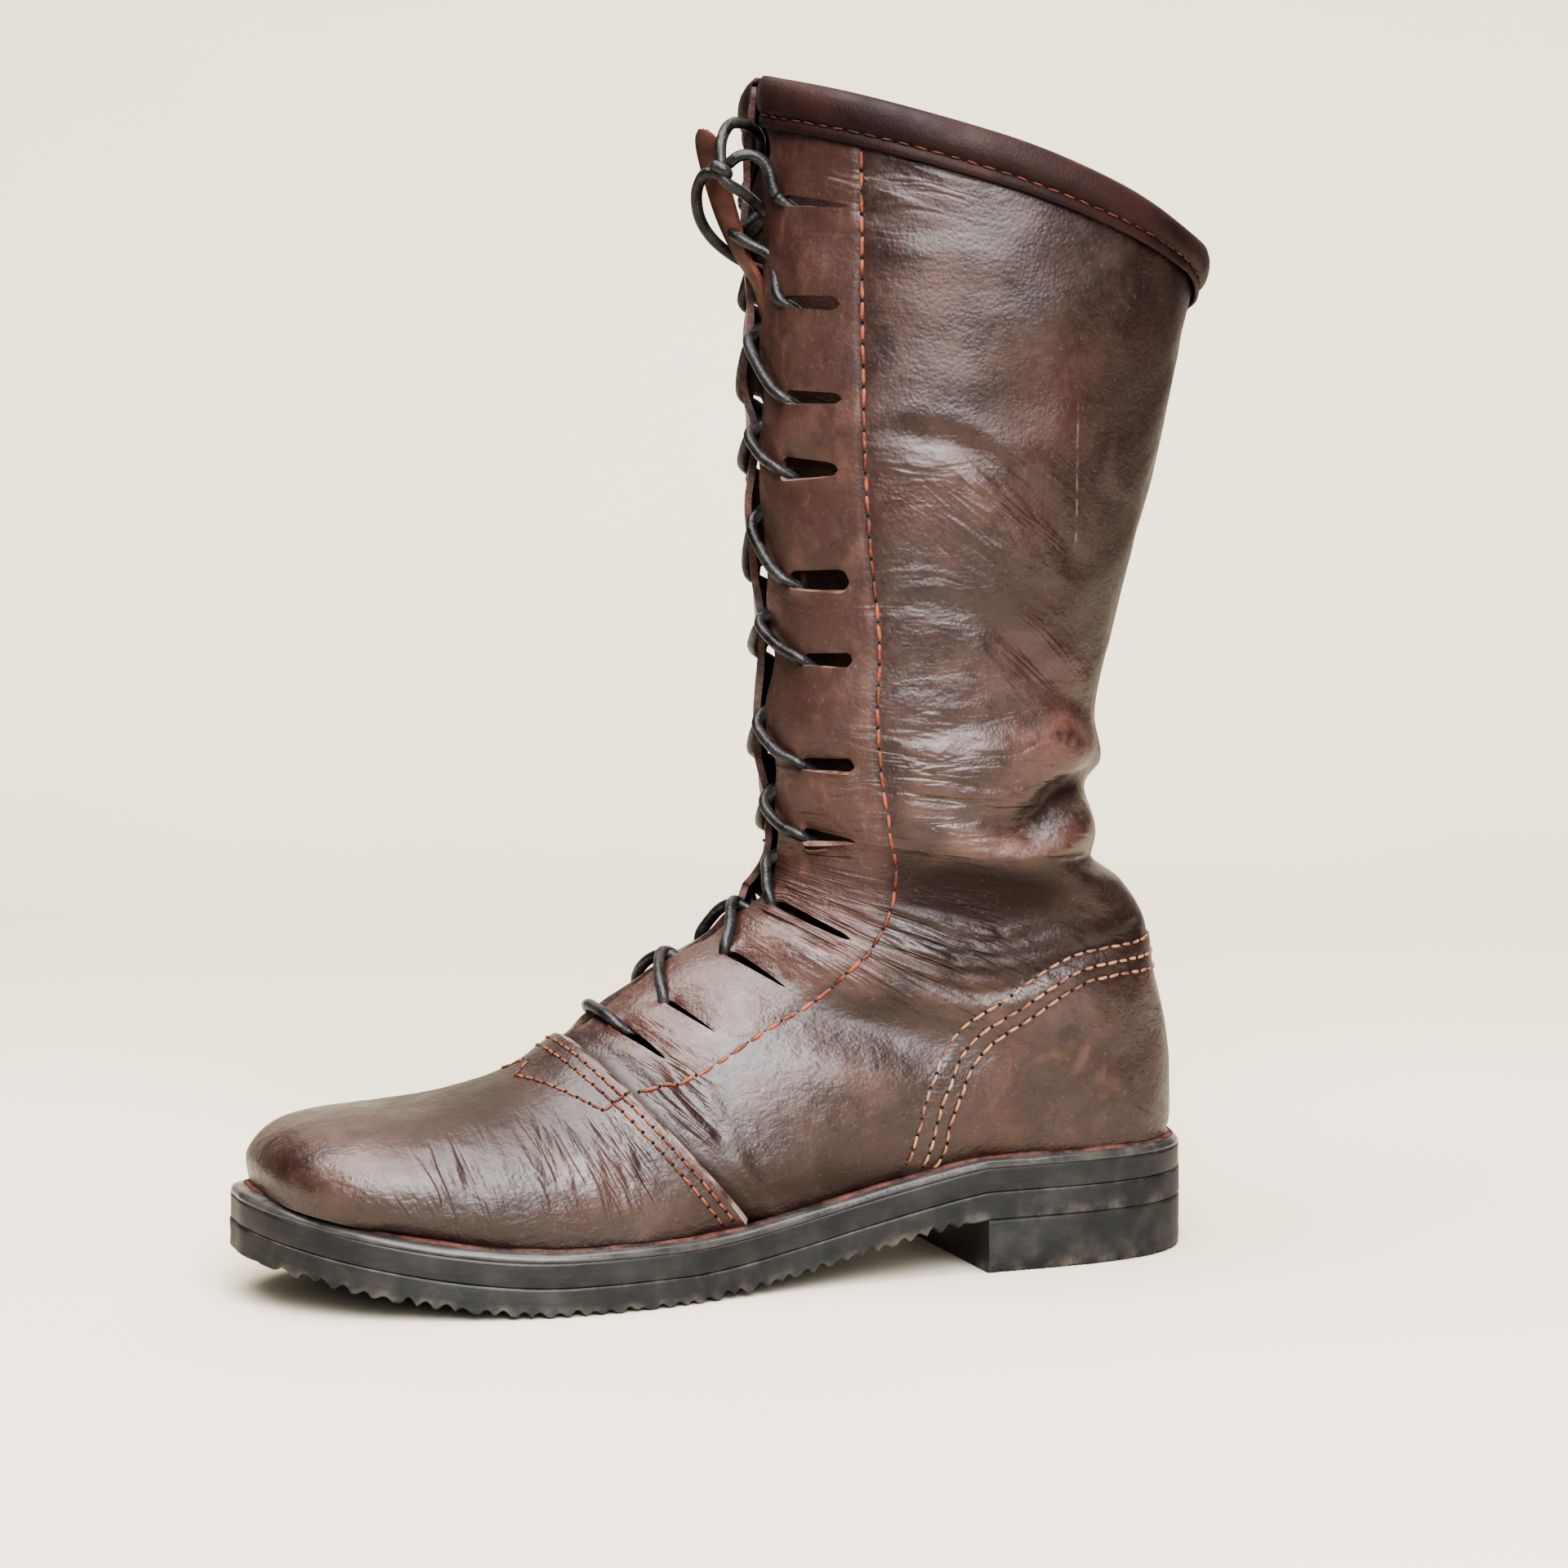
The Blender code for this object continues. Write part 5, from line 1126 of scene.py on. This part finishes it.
def stations(x0, x1, step_mm):
    """row numbers along the sole edge at even steps of edge length"""
    a, b = row_at_x(x0) if x0 > -149.99 else 0.0, row_at_x(x1) if x1 < 149.99 else LAST
    t = np.linspace(a, b, 1200)
    e = np.array([edge_at(float(q), 1) for q in t])
    d = np.r_[0, np.cumsum(np.linalg.norm(np.diff(e, axis=0), axis=1))]
    n = int(d[-1]/step_mm) + 1
    return [float(q) for q in np.interp(np.linspace(0, d[-1], n), d, t)]

def sole_mesh(name, rows, rings, mats, ring_mat=None, cap=(0, 0), sharp_rings=(), dust=None):
    """closed layer through rings; a ring is an inset and a height as functions of the station"""
    idx, V, dv = [], [], []
    for r, (inset, height) in enumerate(rings):
        sides = []
        for col in (1, 2):
            line = []
            for i, p in enumerate(rows):
                if col == 2 and p <= 0.0: line.append(sides[0][0]); continue
                if col == 2 and p >= LAST: line.append(sides[0][-1]); continue
                x0 = edge_at(p, 1)[0]
                d = inset(x0) if callable(inset) else inset
                x, y = inset_at(p, col, d)
                line.append(len(V))
                V.append((x, y, height(x0, i)))
                dv.append(dust[r] if dust else 0.0)
            sides.append(line)
        idx.append(sides)
    F, M, sharp = [], [], []
    def quad(a, m):
        a = list(dict.fromkeys(a))
        if len(a) > 2: F.append(tuple(a)); M.append(m)
    n = len(rows)
    for r in range(len(rings) - 1):
        m = ring_mat[r] if ring_mat else 0
        for k in (0, 1):
            for i in range(n - 1):
                a, b = idx[r][k], idx[r+1][k]
                quad((a[i], a[i+1], b[i+1], b[i]) if k == 0 else (a[i], b[i], b[i+1], a[i+1]), m)
        if rows[0] > 0.0: quad((idx[r][1][0], idx[r][0][0], idx[r+1][0][0], idx[r+1][1][0]), m)
        if rows[-1] < LAST: quad((idx[r][0][-1], idx[r][1][-1], idx[r+1][1][-1], idx[r+1][0][-1]), m)
    for i in range(n - 1):
        a = idx[0]
        quad((a[0][i], a[1][i], a[1][i+1], a[0][i+1]), cap[0])
        a = idx[-1]
        quad((a[0][i], a[0][i+1], a[1][i+1], a[1][i]), cap[1])
    for r in sharp_rings:
        for k in (0, 1):
            a = idx[r][k]
            sharp += [(a[i], a[i+1]) for i in range(n - 1)]
    if rows[0] > 0.0:
        for r in range(len(rings)): sharp.append((idx[r][0][0], idx[r][1][0]))
        for k in (0, 1): sharp += [(idx[r][k][0], idx[r+1][k][0]) for r in range(len(rings) - 1)]
    return mesh_object(name, np.array(V), F, mats, M, sharp, {"dust": np.array(dv)})

# ribs of the tread, cut upward from the walking face
RIB_PITCH, RIB_DEPTH = 5.3, 2.4
def chance(k): return (math.sin(k*12.9898 + 4.1)*43758.5453) % 1.0
def rib(x, i):
    k = math.floor((x + 150)/RIB_PITCH)
    t = (x + 150)/RIB_PITCH - k
    deep = RIB_DEPTH*(0.45 + 0.55*chance(k))
    front = smooth(np.array((HEEL_BREAST - 4 - x)/8))*smooth(np.array((x + 149)/6))
    return float(deep*max(0.0, 1 - abs(t - 0.35 - 0.3*chance(k + 50))/0.34)**0.45*front)
def nick(x, i):
    k = math.floor(x/3.1)
    return 1.5*chance(k)*max(0.0, 1 - abs(x/3.1 - k - 0.5)/0.36)
def bottom(x, i): return sole_z(x) + rib(x, i)
wob = lambda x, a, w: a*math.sin(x/w) + 0.6*a*math.sin(x/(w*0.43) + 1.0)
FULL = stations(-150, 150, 1.0)
outsole = sole_mesh("outsole_ribbed", FULL, [
    (2.2, bottom), (0.35, lambda x, i: bottom(x, i) + 0.05), (0.0, lambda x, i: sole_z(x) + 0.5 + rib(x, i)),
    (lambda x: 0.15 + wob(x, 0.10, 8), lambda x, i: sole_z(x) + 3.6), (lambda x: 0.05 + wob(x, 0.12, 11), lambda x, i: sole_z(x) + OUTSOLE_T - 0.9),
    (0.16, lambda x, i: sole_z(x) + OUTSOLE_T - 0.12), (1.6, lambda x, i: sole_z(x) + OUTSOLE_T - 0.08)], [RUBBER], sharp_rings=(1, 2), dust=(0.2, 0.5, 0.45, 0.1, 0.1, 0.35, 0.2))
finish_piece(outsole, "outsole_rubber", "outsole")
SIDE = stations(-150, 150, 2.0)
MZ = OUTSOLE_T
midsole = sole_mesh("midsole_layer", SIDE, [
    (1.8, lambda x, i: sole_z(x) + MZ), (0.45, lambda x, i: sole_z(x) + MZ + 0.03), (0.3, lambda x, i: sole_z(x) + MZ + 0.5),
    (lambda x: 0.35 + wob(x, 0.10, 9), lambda x, i: sole_z(x) + MZ + 3.4), (lambda x: 0.4 + wob(x, 0.12, 12), lambda x, i: sole_z(x) + MZ + MIDSOLE_T - 1.0),
    (0.42, lambda x, i: sole_z(x) + MZ + MIDSOLE_T - 0.15), (1.6, lambda x, i: sole_z(x) + MZ + MIDSOLE_T - 0.1)], [MIDRUBBER], dust=(0.2, 0.3, 0.1, 0.05, 0.05, 0.1, 0.1))
finish_piece(midsole, "midsole_rubber", "midsole")
WZ = OUTSOLE_T + MIDSOLE_T
def rand_out(x): return ledge(x) - 1.7 + wob(x, 0.25, 6)
def rand_in(x): return ledge(x) - 0.2
def welt_top(x, i): return sole_z(x) + WZ + WELT_T
welt = sole_mesh("welt_strip", SIDE, [
    (1.6, lambda x, i: sole_z(x) + WZ), (0.45, lambda x, i: sole_z(x) + WZ), (lambda x: 0.5 + wob(x, 0.10, 7), lambda x, i: sole_z(x) + WZ + 0.9),
    (lambda x: 1.15 + wob(x, 0.12, 10), lambda x, i: sole_z(x) + WZ + 1.9 + 0.12*math.sin(x/5)), (2.1, lambda x, i: welt_top(x, i) - 0.1), (lambda x: rand_out(x) - 0.15, welt_top),
    (rand_out, lambda x, i: welt_top(x, i) + 0.45 + 0.2*math.sin(x/3.1)), (lambda x: (rand_out(x) + rand_in(x))/2, lambda x, i: welt_top(x, i) + 0.75 + 0.25*math.sin(x/4.3)), (rand_in, lambda x, i: welt_top(x, i) + 0.7),
    (lambda x: ledge(x) + 0.6, lambda x, i: welt_top(x, i) + 0.1)],
    [WELT_EDGE, RAND], ring_mat=(0, 0, 0, 0, 0, 1, 1, 1, 1), cap=(0, 1), dust=(0, 0.2, 0.15, 0.1, 0.15, 0.3, 0, 0, 0, 0))
finish_piece(welt, "welt_leather", "welt")
HEEL = stations(HEEL_BREAST, 150, 0.8)
heel = sole_mesh("heel_lift", HEEL, [
    (2.8, lambda x, i: 0.0), (0.5, lambda x, i: 0.7*nick(x + i*0.6, i)), (0.1, lambda x, i: 0.35 + nick(x + i*0.6, i)), (lambda x: 0.0 + wob(x, 0.08, 6), lambda x, i: 3.4),
    (lambda x: 0.05 + wob(x, 0.08, 7), lambda x, i: 7.6), (0.05, lambda x, i: 8.0), (0.05, lambda x, i: 8.4), (lambda x: 0.1 + wob(x, 0.08, 8), lambda x, i: HEEL_STEP - 1.2), (0.22, lambda x, i: HEEL_STEP - 0.12), (1.6, lambda x, i: HEEL_STEP - 0.08)],
    [RUBBER], sharp_rings=(1,), dust=(0.2, 0.6, 0.5, 0.15, 0.1, 0.1, 0.1, 0.1, 0.2, 0.2))
finish_piece(heel, "heel_rubber", "heel")
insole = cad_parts["insole"]
insole.data.materials.clear()
insole.data.materials.append(INSOLE)

# ------------------------------------------------------------------ lace
def lace_frames(i):
    return SLITS[i][0], SLITS[i][1], SLITS[i][2]

def one(v, side, s, h):
    return lift(np.array([v]), np.array([side]), np.array([s]), np.array([h]))[0]

FRONT_WAY = np.r_[0, np.cumsum(np.linalg.norm(np.diff(_f, axis=0), axis=1))]
def below(v, mm):
    """section number that many millimetres further down the front"""
    return float(np.interp(np.interp(v, VS, FRONT_WAY) - mm, FRONT_WAY, VS))

def out_of_slit(i, side):
    """from under the facing out through the slit's front end"""
    v, f, b = lace_frames(i)
    return [one(below(v, 4.6), side, f + 2.6, -5.2), one(below(v, 2.6), side, f + 1.6, -3.4), one(below(v, 0.9), side, f + 0.7, -0.6), one(below(v, -0.9), side, f - 0.9, LACE_UP - 0.5)]

def over_the_gap(i, side):
    """over the facing, across the gap and under the other facing"""
    v0, f, _ = lace_frames(i)
    v1, f1, _ = lace_frames(i + 1)
    dv = v1 - v0
    over = 1.5 if side < 0 else 0.0
    near = [one(v0 + 0.14*dv, side, 0.66*f, LACE_UP + 0.2), one(v0 + 0.29*dv, side, 0.36*f, LACE_UP + 0.2 + 0.3*over), one(v0 + 0.42*dv, side, 0.12*f, LACE_UP + 0.1 + 0.6*over), one(v0 + 0.50*dv, side, 0.2, LACE_UP - 0.6 + over)]
    far = [one(v0 + 0.60*dv, -side, 2.0, -0.4 + 0.4*over), one(v0 + 0.68*dv, -side, 4.6, -4.0), one(v0 + 0.80*dv, -side, 0.6*f1, -4.4)]
    return near + far

def lace_run(first):
    side = first
    pts = [one(SLITS[0][0], side, 0.0, LACE_UP + 0.2), one(SLITS[0][0], side, 5.5, LACE_UP), one(SLITS[0][0], side, 10.5, LACE_UP - 0.2), one(SLITS[0][0] + 0.01, side, 14.0, 0.2),
           one(SLITS[0][0] + 0.05, side, 17.0, -3.2), one(9.4, side, 19.5, -4.4)]
    for i in range(1, 10):
        pts += out_of_slit(i, side) + over_the_gap(i, side)
        side = -side
    pts += out_of_slit(10, side)
    return pts, side

KNOT = np.array([-4.4, -11.0, 332.3])
def spiral(centre, axis, r, turns, n, start=0.0, climb=0.0):
    axis = unit(np.asarray(axis, float))
    u = unit(np.cross(axis, (0.0, 1.0, 0.2)))
    w = np.cross(axis, u)
    a = start + np.linspace(0, turns*2*math.pi, n)
    return [centre + r*(math.cos(q)*u + math.sin(q)*w) + axis*climb*(k/(n - 1) - 0.5) for k, q in enumerate(a)]

runs = {}
for first in (LAT, MED):
    pts, side = lace_run(first)
    if side < 0:
        pts += [(12.5, -9.0, 306.0), (6.5, -6.5, 310.0), (2.0, -3.2, 313.2), (3.6, 1.0, 314.6), (9.0, 5.0, 316.5), (14.0, 9.5, 320.0)]
    else:
        pts += [(12.5, 9.0, 306.5), (9.5, 5.0, 310.0), (8.6, 1.0, 313.4), (12.0, -5.0, 317.5), (15.5, -9.5, 321.0)]
    last = -side
    pts += out_of_slit(11, last)
    if last < 0:
        pts += [(8.6, -14.2, 333.2), (4.0, -13.6, 336.2), (-0.6, -12.6, 335.4)]
        pts += spiral(KNOT, (0.25, 0.1, 1.0), 2.6, 1.15, 9, 2.6, -4.2)
        pts += [(-7.6, -8.4, 331.4), (-8.9, -4.2, 328.6), (-8.4, 0.6, 324.4), (-6.0, 4.4, 318.0), (-1.0, 6.4, 312.0), (6.0, 6.6, 307.0), (14.0, 5.5, 303.0), (20.0, 5.0, 300.0)]
    else:
        pts += [(14.0, 6.6, 340.5), (10.5, 2.6, 345.2), (5.6, -0.6, 346.4), (0.6, -4.2, 345.8), (-3.2, -8.0, 341.2), (-4.6, -10.6, 336.0), KNOT, (-4.4, -11.4, 329.0), (-2.2, -11.8, 327.0), (1.4, -11.2, 325.6), (5.2, -9.0, 323.6), (9.5, -6.0, 321.0), (13.0, -5.5, 318.0)]
    line = settle(resample(densify(np.array([np.asarray(p, float) for p in pts]), 1.0), 1.1), 5)
    leaves = int(np.argmin(np.linalg.norm(line - one(below(SLITS[11][0], -0.9), last, SLITS[11][1] - 0.9, LACE_UP - 0.5), axis=1)))
    runs[last] = (line[:leaves + 1], line[leaves:])
LV, LF = [], []
for last, (line, free) in runs.items():
    v, f, caps = tube(line, LACE_D/2, 10)
    base = sum(len(q) for q in LV)
    LV.append(v)
    LF += [tuple(base + q for q in a) for a in f + caps]
lace = mesh_object("lace", np.vstack(LV), LF, [LACE])
finish_piece(lace, "lace_leather", "lace_bar", *["lace_cross_%02d" % i for i in range(1, 11)])
for last, (line, free) in runs.items():
    v, f, caps = tube(free, LACE_D/2, 10)
    end = mesh_object("lace_end_outer" if last < 0 else "lace_end_inner", v, f + caps, [LACE])
    finish_piece(end, "lace_leather", "lace_knot")

# ------------------------------------------------------------------ floor, light, camera
def stage_mesh():
    prof = [(-0.48, 0.0), (0.9, 0.0)] + [(0.9 + 0.7*math.sin(a), 0.7 - 0.7*math.cos(a)) for a in np.linspace(0.05, math.pi/2, 18)] + [(1.6, 4.0)]
    az = math.radians(-18.8)
    V, F = [], []
    for u in (-1.1, 1.1):
        for d, z in prof:
            V.append((u*math.cos(az) - d*math.sin(az), u*math.sin(az) + d*math.cos(az), z))
    n = len(prof)
    for i in range(n - 1): F.append((i, n + i, n + i + 1, i + 1))
    me = bpy.data.meshes.new("floor_sweep")
    me.from_pydata(V, [], F)
    me.polygons.foreach_set("use_smooth", np.ones(len(me.polygons), bool))
    k = Shade("pale_floor")
    a = k.noise(k.where(), 3.0, 4)
    k.done(k.mix(a, srgb(198, 189, 172), srgb(204, 195, 179)), 0.8)
    me.materials.append(k.m)
    ob = bpy.data.objects.new("floor_sweep", me)
    bpy.context.scene.collection.objects.link(ob)
stage_mesh()

def area(name, loc, at, size, power, colour):
    d = bpy.data.lights.new(name, 'AREA')
    d.shape = 'RECTANGLE'
    d.size, d.size_y = size
    d.energy = power
    d.color = colour
    o = bpy.data.objects.new(name, d)
    o.location = loc
    o.rotation_euler = (Vector(at) - Vector(loc)).to_track_quat('-Z', 'Y').to_euler()
    bpy.context.scene.collection.objects.link(o)
    return o
area("sky", (-0.3, -0.4, 2.5), (0.0, 0.0, 0.15), (3.2, 2.2), 150.0, (1.0, 0.99, 0.97))
area("front", (-0.35, -1.9, 1.75), (0.0, 0.0, 0.10), (2.0, 1.1), 80.0, (0.98, 0.99, 1.0))
area("low", (-0.15, -2.35, 0.85), (0.03, 0.0, 0.2), (2.4, 1.2), 60.0, (0.98, 0.99, 1.0))
area("rim", (1.3, 0.9, 1.3), (0.0, 0.0, 0.2), (1.0, 1.2), 4.0, (1.0, 0.97, 0.85))
world = bpy.data.worlds.new("soft_sky")
world.use_nodes = True
world.node_tree.nodes["Background"].inputs["Color"].default_value = (0.80, 0.86, 0.92, 1.0)
world.node_tree.nodes["Background"].inputs["Strength"].default_value = 0.12
bpy.context.scene.world = world

CAMERA_AZ, CAMERA_PITCH, CAMERA_H, CAMERA_D, FOCAL_PX, FRAME_PX, AXIS_OFF = -18.805, 4.854, 243.16, 1117.9, 4531.2, 1920.0, 73.1
az, pitch = math.radians(CAMERA_AZ), math.radians(CAMERA_PITCH)
back = Vector((math.sin(az), -math.cos(az), 0.0))
right = Vector((math.cos(az), math.sin(az), 0.0))
ahead = -back*math.cos(pitch) - Vector((0, 0, 1))*math.sin(pitch) + right*(AXIS_OFF/FOCAL_PX)
bpy.context.scene.view_settings.look = "AgX - High Contrast"
cam = bpy.data.cameras.new("camera")
cam.sensor_width = 36.0
cam.lens = 36.0*FOCAL_PX/FRAME_PX
cam.clip_start, cam.clip_end = 0.05, 30.0
eye = bpy.data.objects.new("camera", cam)
eye.location = (back*CAMERA_D + Vector((0, 0, CAMERA_H)) - Vector((ORIGIN_X, 0, 0)))*MM
eye.rotation_euler = ahead.to_track_quat('-Z', 'Y').to_euler()
bpy.context.scene.collection.objects.link(eye)
bpy.context.scene.camera = eye
